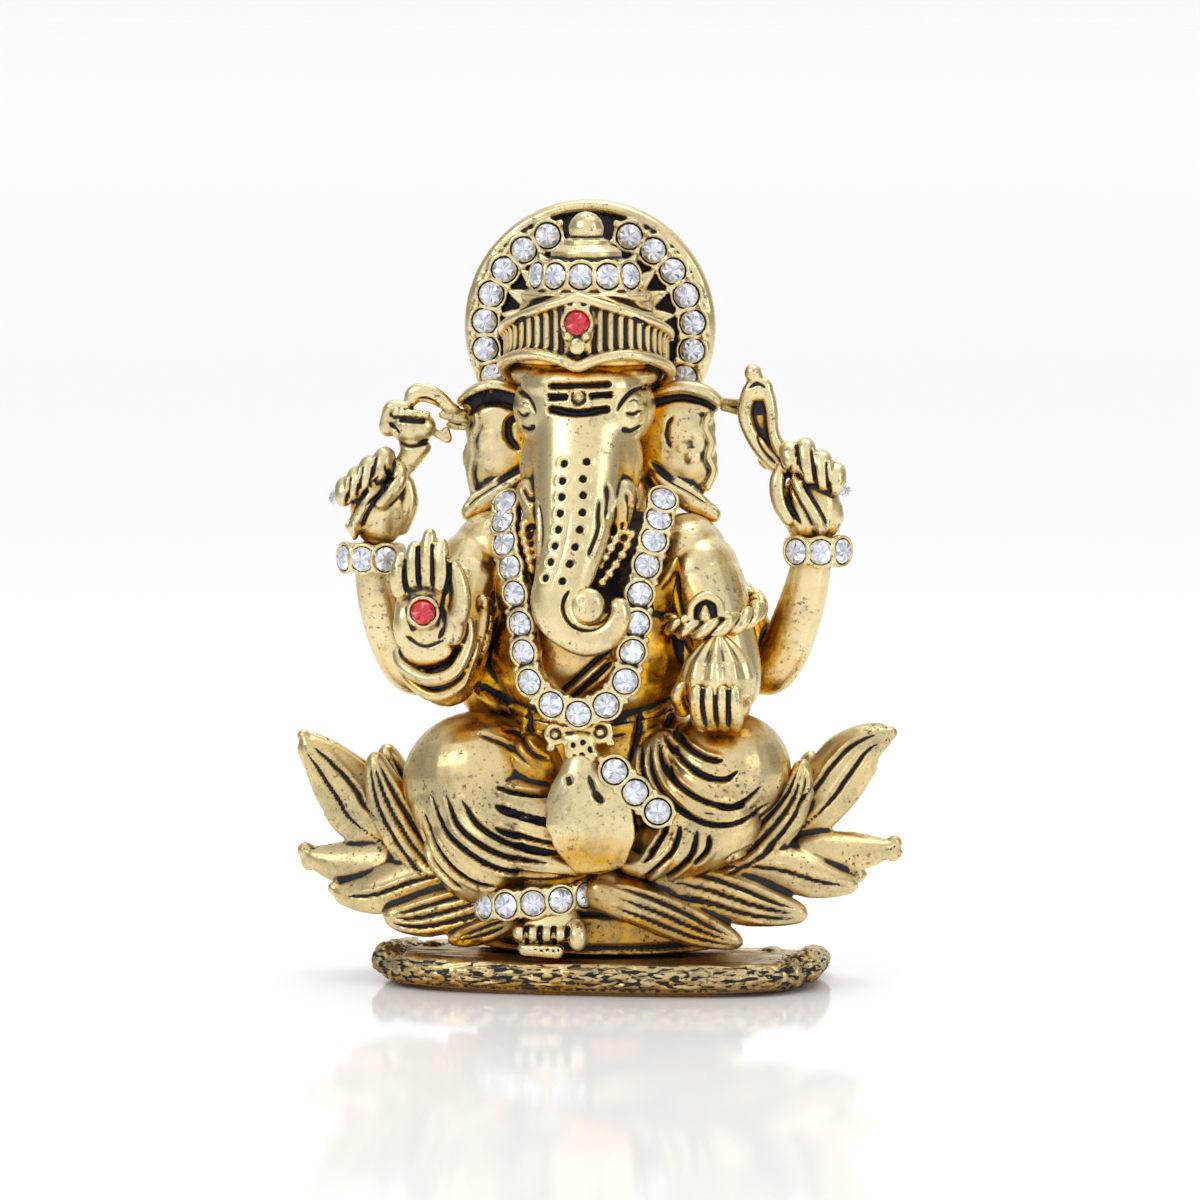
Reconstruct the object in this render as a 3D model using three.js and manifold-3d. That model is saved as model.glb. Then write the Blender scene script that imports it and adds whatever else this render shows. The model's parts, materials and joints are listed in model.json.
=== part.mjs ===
// A small devotional figure: an elephant-headed deity seated on a lotus, cast in zinc alloy and set with
// glass stones.
// Millimetres, +Z up. The figure faces -Y. Left and right are the figure's own, so its right side is at -X.
// The origin is on the underside of the base slab, below the middle of the lotus.
import * as THREE from 'three';
import { mergeVertices } from 'three/addons/utils/BufferGeometryUtils.js';
import Module from 'manifold-3d';

const wasm = await Module();
wasm.setup();

// ---- Driving dimensions ----
const GAP = 0.35;            // clearance between neighbouring pieces
const BASE = { halfWidth: 23.3, halfDepth: 13.0, thick: 3.4, bevel: 0.5 };
const LOTUS = { foot: 3.8, seat: 16.0, squash: 0.62 };
const HALO = { radius: 13.0, x: -1.7, y: 4.9, z: 66.8, thick: 2.0, bottom: 60.6, stones: 7, stoneRing: 10.8 };
const CROWN = {
  x: -1.1, y: -2.2, squash: 0.74, band: 8.6, bandLow: 63.2, bandHigh: 69.6, row: 72.4, rowRadius: 5.0, top: 78.3,
};
const EAR = { x: -1.3, y: 1.8, thick: 1.8 };
const STONE = { radius: 1.25, table: 0.68, crown: 0.42, pavilion: 0.75, sides: 8 };
// Degrees from the top of the halo, along each side, round a point a little below the disc's centre.
const STONE_ARC = { first: 23, step: 15.2, drop: 0.7 };
const WRIST = { inner: 2.35, outer: 3.05, half: 1.45 };
const ANKLET = { x: -5.6, y: -5.4, z: 9.3, inner: 5.6, outer: 6.5, half: 1.4, from: -68, to: 52, stones: 6 };

const GOLD = new THREE.MeshStandardMaterial({ color: 0xd6b063, roughness: 0.32, metalness: 1.0 });
const DARK_GOLD = new THREE.MeshStandardMaterial({ color: 0xa67c2e, roughness: 0.45, metalness: 1.0 });
const CRYSTAL = new THREE.MeshStandardMaterial({ color: 0xe8edf4, roughness: 0.05, metalness: 0.0 });
const RUBY = new THREE.MeshStandardMaterial({ color: 0xc01424, roughness: 0.08, metalness: 0.0 });

const UP = new THREE.Vector3(0, 0, 1);
const BACK = new THREE.Vector3(0, 1, 0);
const rad = THREE.MathUtils.degToRad;
const at = (x, y, z) => new THREE.Vector3(x, y, z);

// ---- Shape helpers ----

// A bare position-only geometry with shared vertices, which manifold-3d can take.
function bare(geometry) {
  const copy = geometry.clone();
  copy.deleteAttribute('normal');
  copy.deleteAttribute('uv');
  return mergeVertices(copy, 1e-4);
}

function solidOf(geometry) {
  const merged = bare(geometry);
  return new wasm.Manifold(new wasm.Mesh({
    numProp: 3,
    vertProperties: new Float32Array(merged.attributes.position.array),
    triVerts: new Uint32Array(merged.index.array),
  }));
}

// The same shape with its skin moved outwards, used as the cutter that leaves a gap.
function grown(geometry, distance) {
  const merged = bare(geometry);
  merged.computeVertexNormals();
  const position = merged.attributes.position;
  const normal = merged.attributes.normal;
  for (let i = 0; i < position.count; i++) {
    position.setXYZ(
      i,
      position.getX(i) + normal.getX(i) * distance,
      position.getY(i) + normal.getY(i) * distance,
      position.getZ(i) + normal.getZ(i) * distance,
    );
  }
  return merged;
}

function ball(centre, radii, sides = 12, rings = 7) {
  return new THREE.SphereGeometry(1, sides, rings)
    .scale(radii.x, radii.z, radii.y)
    .rotateX(Math.PI / 2)
    .translate(centre.x, centre.y, centre.z);
}

// Linear reading of a list of evenly spaced stations, t from 0 to 1.
function station(list, t) {
  const place = Math.min(Math.max(t, 0), 1) * (list.length - 1);
  const low = Math.min(Math.floor(place), list.length - 2);
  return THREE.MathUtils.lerp(list[low], list[low + 1], place - low);
}

// A cylinder bent along a smooth path. wide is the half width across the path, thick the half thickness.
function limb(path, wide, thick = wide, { sides = 10, steps = 8, up = UP } = {}) {
  const curve = new THREE.CatmullRomCurve3(path);
  const shape = new THREE.CylinderGeometry(1, 1, 1, sides, steps);
  const position = shape.attributes.position;
  for (let i = 0; i < position.count; i++) {
    const t = Math.min(Math.max(position.getY(i) + 0.5, 0), 1);
    const along = curve.getTangent(t);
    const side = along.clone().cross(up).normalize();
    const out = side.clone().cross(along).normalize();
    const place = curve.getPoint(t)
      .addScaledVector(side, position.getX(i) * station(wide, t))
      .addScaledVector(out, position.getZ(i) * station(thick, t));
    position.setXYZ(i, place.x, place.y, place.z);
  }
  return shape;
}

// A turned piece: profile is [radius, height] pairs, bottom first, starting and ending on the axis.
function turned(profile, centre, { sides = 20, squash = 1 } = {}) {
  const points = profile.map(([r, z]) => new THREE.Vector2(r, z));
  return new THREE.LatheGeometry(points, sides)
    .rotateX(Math.PI / 2)
    .scale(1, squash, 1)
    .translate(centre.x, centre.y, centre.z);
}

// A ring with a rectangular section round a vertical axis.
function band(centre, inner, outer, half, sides = 16) {
  return turned(
    [[inner, -half], [outer, -half], [outer, half], [inner, half], [inner, -half]],
    centre,
    { sides },
  );
}

// A flat outline in the XZ plane, given thickness along Y and centred on y.
function plate(outline, y, thick, bevel = 0.3) {
  const shape = new THREE.Shape();
  shape.moveTo(outline[0][0], outline[0][1]);
  shape.splineThru([...outline.slice(1), outline[0]].map(([x, z]) => new THREE.Vector2(x, z)));
  const options = {
    depth: thick - 2 * bevel,
    bevelSize: bevel,
    bevelThickness: bevel,
    bevelSegments: 1,
    curveSegments: 4,
  };
  return new THREE.ExtrudeGeometry(shape, options)
    .rotateX(Math.PI / 2)
    .translate(0, y + thick / 2 - bevel, 0);
}

// ---- Assembly ----
const group = new THREE.Group();
const cutters = new Map();

function join(solids) {
  return solids.reduce((sum, one) => sum.add(one));
}

function largestBody(solid) {
  return solid.decompose().sort((a, b) => b.volume() - a.volume())[0];
}

// Details smaller than 0.03 mm are collapsed first.
function geometryOf(solid) {
  const made = solid.simplify(0.03).getMesh();
  return new THREE.BufferGeometry()
    .setAttribute('position', new THREE.BufferAttribute(made.vertProperties, 3))
    .setIndex(new THREE.BufferAttribute(made.triVerts, 1));
}

// Joins the shapes of one casting, cuts it clear of its neighbours, and adds it under its name.
function cast(name, shapes, neighbours = [], material = GOLD, extraCuts = []) {
  let solid = join(shapes.map(solidOf));
  for (const neighbour of neighbours) solid = solid.subtract(cutters.get(neighbour));
  for (const cut of extraCuts) solid = solid.subtract(cut);
  cutters.set(name, join(shapes.map((shape) => solidOf(grown(shape, GAP)))));
  const mesh = new THREE.Mesh(geometryOf(largestBody(solid)), material);
  mesh.name = name;
  group.add(mesh);
}

// ---- Glass stones: a flat table, a faceted crown and a pointed back ----
const stoneShape = new THREE.LatheGeometry(
  [
    new THREE.Vector2(0, -STONE.pavilion),
    new THREE.Vector2(STONE.radius, 0),
    new THREE.Vector2(STONE.radius * STONE.table, STONE.crown),
    new THREE.Vector2(0, STONE.crown),
  ],
  STONE.sides,
);

const stonePlaces = [];

function stone(name, place, facing, material = CRYSTAL) {
  const turn = new THREE.Quaternion().setFromUnitVectors(at(0, 1, 0), facing.clone().normalize());
  const mesh = new THREE.Mesh(stoneShape, material);
  mesh.name = name;
  mesh.position.copy(place);
  mesh.quaternion.copy(turn);
  group.add(mesh);
  const pocket = grown(stoneShape, GAP).applyQuaternion(turn).translate(place.x, place.y, place.z);
  stonePlaces.push({ name, pocket: solidOf(pocket) });
}

function pockets(prefix) {
  return stonePlaces.filter((one) => one.name.startsWith(prefix)).map((one) => one.pocket);
}

const number = (i) => String(i + 1).padStart(2, '0');

const haloFace = HALO.y - HALO.thick / 2;
let haloStone = 0;
for (const side of [-1, 1]) {
  for (let i = 0; i < HALO.stones; i++) {
    const angle = rad(STONE_ARC.first + i * STONE_ARC.step);
    const place = at(
      HALO.x + side * HALO.stoneRing * Math.sin(angle),
      haloFace - 0.35,
      HALO.z - STONE_ARC.drop + HALO.stoneRing * Math.cos(angle),
    );
    stone(`stone_halo_${number(haloStone)}`, place, at(0, -1, 0));
    haloStone += 1;
  }
}

for (let i = 0; i < 5; i++) {
  const angle = rad(-60 + 30 * i);
  const out = at(Math.sin(angle), -Math.cos(angle) * CROWN.squash, 0);
  const place = at(CROWN.x, CROWN.y, CROWN.row).addScaledVector(out, CROWN.rowRadius + 0.35);
  stone(`stone_crown_${number(i)}`, place, at(Math.sin(angle) * CROWN.squash, -Math.cos(angle), 0.15));
}
stone('stone_brow_red', at(CROWN.x, CROWN.y - CROWN.squash * CROWN.band - 0.3, 67.9), at(0, -1, 0.1), RUBY);
stone('stone_palm_red', at(-16.3, -12.1, 38.8), at(0, -1, 0.1), RUBY);

const wrists = [
  ['right', at(-23.3, -0.4, 43.3), [-52, -11, 30]],
  ['left', at(22.2, -0.4, 44.6), [-30, 14, 56]],
];
for (const [side, centre, angles] of wrists) {
  angles.forEach((degrees, i) => {
    const out = at(Math.sin(rad(degrees)), -Math.cos(rad(degrees)), 0);
    stone(`stone_${side}_wrist_${number(i)}`, centre.clone().addScaledVector(out, WRIST.outer + 0.25), out);
  });
}

for (let i = 0; i < ANKLET.stones; i++) {
  const share = i / (ANKLET.stones - 1);
  const angle = rad(THREE.MathUtils.lerp(ANKLET.from, ANKLET.to, share));
  const out = at(Math.sin(angle), -Math.cos(angle), 0);
  const height = ANKLET.z + 1.5 * (share - 0.5);
  const place = at(ANKLET.x, ANKLET.y, height).addScaledVector(out, ANKLET.outer + 0.25);
  stone(`stone_anklet_${number(i)}`, place, out);
}

// ---- Base slab: a blunt oval with a flat underside ----
function slab() {
  const outline = new THREE.Shape();
  const points = 40;
  for (let i = 0; i < points; i++) {
    const angle = (i / points) * Math.PI * 2;
    const blunt = (v) => Math.sign(v) * Math.abs(v) ** 0.62;
    const x = (BASE.halfWidth - BASE.bevel) * blunt(Math.cos(angle));
    const y = (BASE.halfDepth - BASE.bevel) * blunt(Math.sin(angle));
    if (i === 0) outline.moveTo(x, y);
    else outline.lineTo(x, y);
  }
  const depth = BASE.thick - 2 * BASE.bevel;
  const options = { depth, bevelSize: BASE.bevel, bevelThickness: BASE.bevel, bevelSegments: 1 };
  return new THREE.ExtrudeGeometry(outline, options).translate(0, 0, BASE.bevel);
}
cast('base_slab', [slab()], [], DARK_GOLD);

// ---- The seated body ----
cast('torso', [
  limb(
    [
      at(-0.6, 0, 16.4), at(-0.6, 0, 22), at(-0.6, -1.0, 29), at(-0.6, -1.3, 35), at(-0.8, 0, 41.5),
      at(-0.9, 0.6, 46.5), at(-1.4, 0.4, 52.5),
    ],
    [13.2, 13.6, 11.2, 11.6, 13.6, 11.0, 5.6],
    [7.6, 8.4, 8.4, 9.2, 7.0, 5.2, 4.4],
    { sides: 18, steps: 12, up: BACK },
  ),
]);
cast('right_leg', [
  ball(at(-13.0, -3.6, 22.0), at(8.2, 7.0, 7.6), 16, 10),
  limb([at(-14, -4.5, 20), at(-9.5, -7.2, 15.2), at(-5.8, -7.2, 11.4)], [7, 7.2, 5.6], [5.5, 4.6, 4.2]),
], ['torso']);
cast('left_leg', [
  ball(at(13.4, -3.6, 22.2), at(6.8, 6.4, 6.2), 14, 10),
  limb([at(13.5, -4.4, 20.5), at(9.5, -7.6, 15.4), at(2.5, -7.2, 13.2)], [5.8, 5.2, 3.4], [4.6, 4.0, 3.2]),
], ['torso', 'right_leg']);
cast('right_foot', [
  limb([at(-4.6, -8.4, 8.4), at(-3.8, -10.4, 6.2), at(-3.6, -11.8, 4.9)], [2.6, 3.0, 3.5], [1.9, 1.6, 1.0]),
], ['right_leg'], GOLD, pockets('stone_anklet'));
cast('sash_apron', [
  limb(
    [at(-0.4, -11.4, 24.8), at(0.9, -12.8, 18.6), at(1.5, -12.4, 12.4)],
    [1.0, 2.6, 3.8, 4.2, 3.0],
    [0.8, 0.9, 0.9, 0.8, 0.5],
    { up: BACK },
  ),
], ['torso', 'right_leg', 'left_leg']);
cast('belt_clasp', [
  ball(at(-0.5, -11.0, 26.2), at(3.0, 1.1, 1.5)),
], ['torso', 'sash_apron', 'right_leg', 'left_leg']);
cast('sash_setting', [
  limb(
    [at(2.4, -12.2, 23.0), at(4.6, -12.9, 20.9), at(6.9, -13.0, 18.6)],
    [1.5, 1.5, 1.5],
    [0.7, 0.7, 0.7],
    { up: BACK, steps: 4 },
  ),
], ['torso', 'sash_apron', 'left_leg', 'belt_clasp'], DARK_GOLD);

// ---- Lotus seat: a waisted core ringed by petals that lie open, all one casting ----
// Each petal is given for the figure's left front: root, tip, how far its middle sags, and its half width.
const PETALS = [
  { root: [14.5, -1.8, 11.5], tip: [31.0, -0.6, 25.6], sag: [1.6, 0, -2.6], half: 3.7 },
  { root: [12.0, -4.6, 11.0], tip: [21.8, -3.6, 24.2], sag: [2.2, 0, -1.8], half: 3.0 },
  { root: [13.5, -3.4, 13.4], tip: [31.3, -1.6, 13.9], sag: [0, 0, -0.8], half: 2.3 },
  { root: [11.5, -6.0, 12.0], tip: [27.4, -4.6, 9.9], sag: [0, 0, -0.6], half: 2.5 },
  { root: [8.5, -7.4, 11.2], tip: [21.8, -7.4, 7.8], sag: [0, 0, -0.8], half: 2.6 },
  { root: [4.0, -8.4, 10.2], tip: [14.8, -9.6, 6.0], sag: [0, 0, -0.8], half: 2.6 },
];

function petal({ root, tip, sag, half }, side, facing) {
  const place = ([x, y, z]) => at(side * x, facing * y, z);
  const middle = place(root).lerp(place(tip), 0.5).add(at(side * sag[0], 0, sag[2]));
  return limb(
    [place(root), middle, place(tip)],
    [half * 0.7, half, half * 0.95, half * 0.6, half * 0.12],
    [1.7, 1.7, 1.5, 1.2, 0.6],
    { sides: 6, steps: 4, up: at(0, -facing, 0.45) },
  );
}

const lotusShapes = [
  turned(
    [
      [0, LOTUS.foot], [13.6, LOTUS.foot], [13.0, LOTUS.foot + 1.4], [14.2, 8.0], [16.2, 12.0],
      [15.6, LOTUS.seat], [0, LOTUS.seat],
    ],
    at(0, 0, 0),
    { sides: 24, squash: LOTUS.squash },
  ),
];
for (const side of [-1, 1]) {
  for (const facing of [1, -1]) {
    const shown = PETALS.filter((_, i) => facing === 1 || i % 2 === 1 || i === 0);   // fewer at the back
    for (const shape of shown) lotusShapes.push(petal(shape, side, facing));
  }
}
cast(
  'lotus_seat',
  lotusShapes,
  ['base_slab', 'torso', 'right_leg', 'left_leg', 'right_foot', 'sash_apron', 'sash_setting'],
  DARK_GOLD,
  pockets('stone_anklet'),
);

const ankletArc = [];
for (let i = 0; i <= 4; i++) {
  const share = i / 4;
  const angle = rad(THREE.MathUtils.lerp(ANKLET.from - 8, ANKLET.to + 8, share));
  const radius = (ANKLET.inner + ANKLET.outer) / 2;
  const height = ANKLET.z + 1.5 * (share - 0.5);
  ankletArc.push(at(ANKLET.x + radius * Math.sin(angle), ANKLET.y - radius * Math.cos(angle), height));
}
cast('anklet', [
  limb(ankletArc, [0.45, 0.45, 0.45], [ANKLET.half, ANKLET.half, ANKLET.half], { sides: 8, steps: 10 }),
], ['right_leg', 'right_foot', 'lotus_seat', 'sash_apron'], DARK_GOLD, pockets('stone_anklet'));

// ---- Head, ears, crown and halo ----
cast('head', [
  ball(at(-1.4, -2.0, 57.4), at(7.8, 5.6, 7.6), 18, 12),
  limb(
    [
      at(-1.2, -5.0, 56), at(-1.0, -8.6, 50), at(-1.8, -11.6, 43), at(-2.4, -12.6, 38.2), at(0.8, -12.7, 35.9),
      at(4.4, -12.4, 37.2), at(5.4, -12.2, 39.6),
    ],
    [6.4, 5.2, 3.6, 2.7, 2.2, 1.7, 1.2],
    [4.6, 3.0, 1.6, 1.3, 1.2, 1.1, 0.9],
    { sides: 12, steps: 18, up: at(0, 1, 0.001) },
  ),
], ['torso']);
cast('trunk_sweet', [ball(at(1.4, -12.8, 39.8), at(2.0, 1.0, 2.0))], ['head', 'torso']);
cast('crown', [
  turned(
    [
      [0, CROWN.bandLow], [CROWN.band, CROWN.bandLow], [CROWN.band, CROWN.bandHigh], [7.0, 70.4], [5.4, 70.8],
      [5.0, 73.8], [4.4, 74.3], [3.4, 74.6], [3.2, 75.6], [1.7, 75.9], [1.7, 77.2], [1.0, 78.1], [0, CROWN.top],
    ],
    at(CROWN.x, CROWN.y, 0),
    { sides: 20, squash: CROWN.squash },
  ),
], ['head'], GOLD, [...pockets('stone_crown'), ...pockets('stone_brow')]);

// One ear's outline, as reach out from the middle of the head and height.
const earOutline = [
  [4.4, 60.8], [8.4, 61.2], [14.0, 59.6], [12.6, 55.6], [13.6, 51.6], [12.0, 46.8], [7.4, 49.6], [4.6, 52.2],
];
for (const [name, side] of [['right_ear', -1], ['left_ear', 1]]) {
  const outline = earOutline.map(([reach, z]) => [EAR.x + side * reach, z]);
  cast(name, [plate(side < 0 ? outline : outline.reverse(), EAR.y, EAR.thick)], ['head', 'torso', 'crown']);
}

function haloDisc() {
  const profile = [
    [0, -0.3], [HALO.radius - 3.9, -0.3], [HALO.radius - 3.6, -0.9], [HALO.radius - 0.7, -0.9],
    [HALO.radius, -0.2], [HALO.radius, 0.5], [HALO.radius - 0.6, 1.1], [0, 1.1],
  ];
  return turned(profile, at(0, 0, 0), { sides: 32 })
    .rotateX(-Math.PI / 2)
    .translate(HALO.x, HALO.y, HALO.z);
}
const belowHalo = solidOf(new THREE.BoxGeometry(40, 12, 20).translate(HALO.x, HALO.y, HALO.bottom - 10));
const haloCuts = [...pockets('stone_halo'), belowHalo];
cast('halo', [haloDisc()], ['crown', 'head', 'right_ear', 'left_ear'], GOLD, haloCuts);

// ---- Arms, hands and what they hold ----
// Four fingers side by side, each a short limb from its knuckle to its tip.
function fingers(knuckle, tip, spread, half, count = 4) {
  return Array.from({ length: count }, (_, i) => {
    const shift = spread.clone().multiplyScalar(i - (count - 1) / 2);
    const middle = knuckle.clone().lerp(tip, 0.5).add(at(0, -0.5, 0)).add(shift);
    return limb(
      [knuckle.clone().add(shift), middle, tip.clone().addScaledVector(shift, 0.9)],
      [half, half, half * 0.6],
      undefined,
      { sides: 6, steps: 2, up: BACK },
    );
  });
}

function rearArm(side, shift) {
  return [
    limb(
      [
        at(side * 12.5, 3, 41), at(side * 16.8, 2.4, 33.4), at(side * 19.6, 1.4, 30.2), at(side * 21.4, 0, 36),
        at(side * 22.2, -0.4, 43.5), at(side * 22.2, -0.4, 47),
      ],
      [2.9, 2.7, 2.7, 2.3, 1.9, 1.9],
      undefined,
      { steps: 12, up: BACK },
    ).translate(shift, 0, 0),
    ball(at(side * 22.2 + shift, -0.6, 49.4), at(3.0, 2.5, 3.7)),
    ...Array.from({ length: 4 }, (_, i) => limb(
      [
        at(side * (24.6 - i * 0.5) + shift, -1.6, 48.6 + i * 1.35),
        at(side * 22.4 + shift, -3.3, 49.4 + i * 1.45),
        at(side * 20.2 + shift, -2.0, 49.6 + i * 1.25),
      ],
      [0.85, 0.95, 0.8],
      undefined,
      { sides: 6, steps: 2 },
    )),
  ];
}
cast('right_rear_arm', rearArm(-1, -1.1), ['torso']);
cast('left_rear_arm', rearArm(1, 0), ['torso']);
cast('right_front_arm', [
  limb(
    [at(-13.2, -2, 43), at(-13.4, -5.4, 35.5), at(-14.8, -8.4, 31.8), at(-16.2, -9.8, 34)],
    [3.3, 3.1, 2.7, 2.5],
    undefined,
    { steps: 9, up: at(1, 0, 0) },
  ),
  limb(
    [at(-16.0, -9.8, 33.6), at(-16.4, -10.4, 38.0), at(-16.3, -10.4, 41.8)],
    [2.4, 3.6, 3.4],
    [1.6, 1.4, 1.0],
    { up: BACK, steps: 5 },
  ),
  ...fingers(at(-16.2, -10.6, 41.0), at(-15.9, -10.4, 47.2), at(1.65, 0, 0), 0.9),
  limb(
    [at(-12.9, -10.2, 36.6), at(-12.2, -10.8, 39.4), at(-12.8, -10.8, 42.0)],
    [1.2, 1.0, 0.6],
    undefined,
    { sides: 6, steps: 3, up: BACK },
  ),
], ['torso', 'right_rear_arm', 'right_leg'], GOLD, pockets('stone_palm'));
cast('left_front_arm', [
  limb(
    [at(12.4, -2, 42.5), at(14.2, -3.6, 36.5), at(14.4, -6.6, 31.2), at(13.4, -8.4, 28.6)],
    [3.3, 3.0, 2.8, 2.6],
    undefined,
    { steps: 9, up: at(1, 0, 0) },
  ),
  ...fingers(at(13.2, -9.2, 27.4), at(13.2, -11.6, 31.4), at(1.7, 0, 0), 1.0),
], ['torso', 'left_rear_arm', 'left_leg']);
const modakProfile = [[0, -3.2], [2.2, -3.0], [3.2, -1.6], [3.3, 0], [2.4, 1.8], [0.9, 3.2], [0, 4.0]];
cast('modak', [turned(modakProfile, at(13.2, -8.4, 32.4), { sides: 14 })], ['left_front_arm', 'torso']);
cast('armlet', [
  new THREE.TorusGeometry(3.7, 0.8, 6, 16).rotateX(rad(14)).translate(13.4, -2.8, 38.4),
], ['left_front_arm', 'torso', 'left_rear_arm', 'modak'], DARK_GOLD);
for (const [side, centre] of wrists) {
  const ring = band(centre, WRIST.inner, WRIST.outer, WRIST.half);
  cast(`${side}_bracelet`, [ring], [`${side}_rear_arm`], DARK_GOLD, pockets(`stone_${side}_wrist`));
}
cast('battle_axe', [
  limb(
    [at(-20.9, -1.0, 52.6), at(-19.6, -1.0, 55.2), at(-18.6, -1.0, 57.4)],
    [1.2, 1.7, 2.2],
    [1.1, 1.3, 1.4],
    { steps: 3, up: BACK },
  ),
  ball(at(-19.3, -1.0, 58.6), at(3.4, 1.5, 1.5)),
  limb(
    [at(-19.6, -1.0, 60.2), at(-17.8, -0.6, 60.2), at(-16.0, 0.2, 58.8), at(-14.4, 1.4, 58.9)],
    [1.3, 1.2, 0.7, 0.8],
    [1.1, 1.0, 0.7, 0.6],
    { steps: 5, up: BACK },
  ),
], ['right_rear_arm', 'right_ear']);
cast('noose', [
  limb(
    [
      at(18.9, -1.2, 52.6), at(15.8, -1.2, 55.6), at(14.6, -1.2, 59.2), at(16.6, -1.2, 62.2), at(18.4, -1.2, 59.4),
      at(18.6, -1.2, 56.0), at(20.2, -1.2, 53.2),
    ],
    [0.9, 0.9, 1.0, 1.0, 0.9, 0.9, 0.9],
    undefined,
    { sides: 8, steps: 18, up: BACK },
  ),
  ball(at(16.0, -1.2, 63.4), at(1.0, 0.9, 1.3), 10, 8),
  limb(
    [at(15.0, -1.0, 58.8), at(13.4, 0.2, 59.6), at(11.6, 1.4, 59.8)],
    [0.6, 0.5, 0.6],
    undefined,
    { sides: 6, steps: 3, up: BACK },
  ),
], ['left_rear_arm', 'left_ear']);

// ---- Necklace: a cup chain with its stones, hung over the shoulders in a long loop ----
function necklace() {
  const half = [
    at(-8.4, -5.6, 49.4), at(-8.3, -7.1, 45.5), at(-7.4, -8.6, 41.8), at(-6.6, -10.1, 37.4),
    at(-5.8, -11.0, 33.4), at(-4.3, -11.4, 30.8), at(-0.65, -11.6, 28.8),
  ];
  const mirrored = half.slice(0, -1).reverse().map((p) => at(-1.3 - p.x, p.y, p.z));
  const curve = new THREE.CatmullRomCurve3([...half, ...mirrored]);
  const cups = 19;
  const shapes = [limb(curve.points, [1.2, 1.2], [0.5, 0.5], { sides: 4, steps: 20, up: BACK })];
  for (let i = 0; i < cups; i++) {
    const place = curve.getPointAt(i / (cups - 1));
    const out = at(place.x * 0.07, -1, THREE.MathUtils.clamp((place.z - 40) * 0.07, -0.1, 0.8)).normalize();
    const turn = new THREE.Quaternion().setFromUnitVectors(at(0, 1, 0), out);
    shapes.push(new THREE.CylinderGeometry(STONE.radius * 0.85, 1.4, 1.2, 7)
      .applyQuaternion(turn)
      .translate(place.x + out.x * 0.6, place.y + out.y * 0.6, place.z + out.z * 0.6));
  }
  return shapes;
}
const underNecklace = ['torso', 'head', 'trunk_sweet', 'belt_clasp', 'right_ear', 'left_ear', 'crown'];
cast('necklace', necklace(), underNecklace, DARK_GOLD);

export default group;
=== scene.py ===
# %% [markdown]
# # A seated elephant-headed deity, cast, gilded and set with stones
# The real figure is a small zinc casting, about 80 mm tall. It is plated a pale gold, dipped in a dark
# patina and wiped, so that the dark stays only where a cloth can't reach, and then glass stones are
# glued into cast cups. The CAD model gives every piece its place and size. Here each piece is modelled
# again with its fine shape, and two finishes are made: the antiqued gold and the foil-backed glass.
# All places below are in the row frame, in millimetres, and each finished mesh is scaled to metres.

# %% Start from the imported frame
import json
import math
import bpy
import numpy as np
from mathutils import Matrix, Vector, noise

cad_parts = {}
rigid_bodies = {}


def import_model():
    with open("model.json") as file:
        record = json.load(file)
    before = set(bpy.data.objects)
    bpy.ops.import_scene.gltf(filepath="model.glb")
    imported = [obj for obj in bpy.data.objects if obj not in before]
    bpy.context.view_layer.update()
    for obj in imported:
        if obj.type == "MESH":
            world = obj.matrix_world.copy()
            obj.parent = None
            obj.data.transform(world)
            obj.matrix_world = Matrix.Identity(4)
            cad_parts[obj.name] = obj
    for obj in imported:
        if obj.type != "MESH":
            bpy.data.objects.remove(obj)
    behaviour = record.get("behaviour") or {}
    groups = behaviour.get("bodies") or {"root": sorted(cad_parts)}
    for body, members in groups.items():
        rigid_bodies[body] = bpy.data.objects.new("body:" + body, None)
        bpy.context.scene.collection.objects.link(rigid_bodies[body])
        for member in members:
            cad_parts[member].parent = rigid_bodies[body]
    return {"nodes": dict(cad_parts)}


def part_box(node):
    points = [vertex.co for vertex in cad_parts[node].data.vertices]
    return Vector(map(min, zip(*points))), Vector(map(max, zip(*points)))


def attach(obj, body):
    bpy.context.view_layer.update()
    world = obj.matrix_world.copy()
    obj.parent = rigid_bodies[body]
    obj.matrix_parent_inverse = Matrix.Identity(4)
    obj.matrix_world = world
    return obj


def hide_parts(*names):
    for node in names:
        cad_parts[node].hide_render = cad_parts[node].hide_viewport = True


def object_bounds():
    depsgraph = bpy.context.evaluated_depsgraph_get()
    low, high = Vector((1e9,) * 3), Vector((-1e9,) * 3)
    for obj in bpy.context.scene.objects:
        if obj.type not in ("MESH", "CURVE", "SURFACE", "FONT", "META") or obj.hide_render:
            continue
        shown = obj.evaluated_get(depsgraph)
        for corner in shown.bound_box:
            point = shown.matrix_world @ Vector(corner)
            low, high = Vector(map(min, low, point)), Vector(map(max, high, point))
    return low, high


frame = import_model()
CAD_BOUNDS = [list(corner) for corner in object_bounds()]
MM = 0.001                      # one millimetre in Blender's metres
FRONT = (0, -1, 0)              # the figure faces -Y
BACK = (0, 1, 0)


def box_mm(node):
    """Lowest corner, highest corner and centre of a CAD node, in millimetres."""
    low, high = (np.array(corner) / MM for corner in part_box(node))
    return low, high, (low + high) / 2


low, high = (np.array(corner) / MM for corner in CAD_BOUNDS)
HEIGHT, WIDTH = high[2] - low[2], high[0] - low[0]
print(f"the figure is {HEIGHT:.1f} mm tall and {WIDTH:.1f} mm wide, in {len(frame['nodes'])} CAD nodes")

# %% [markdown]
# ## Camera
# A long lens from a little to the figure's left and a little above, as for a catalogue picture. The
# camera looks at a point half way up, and the frame is as wide as one and a half figures.

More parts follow.
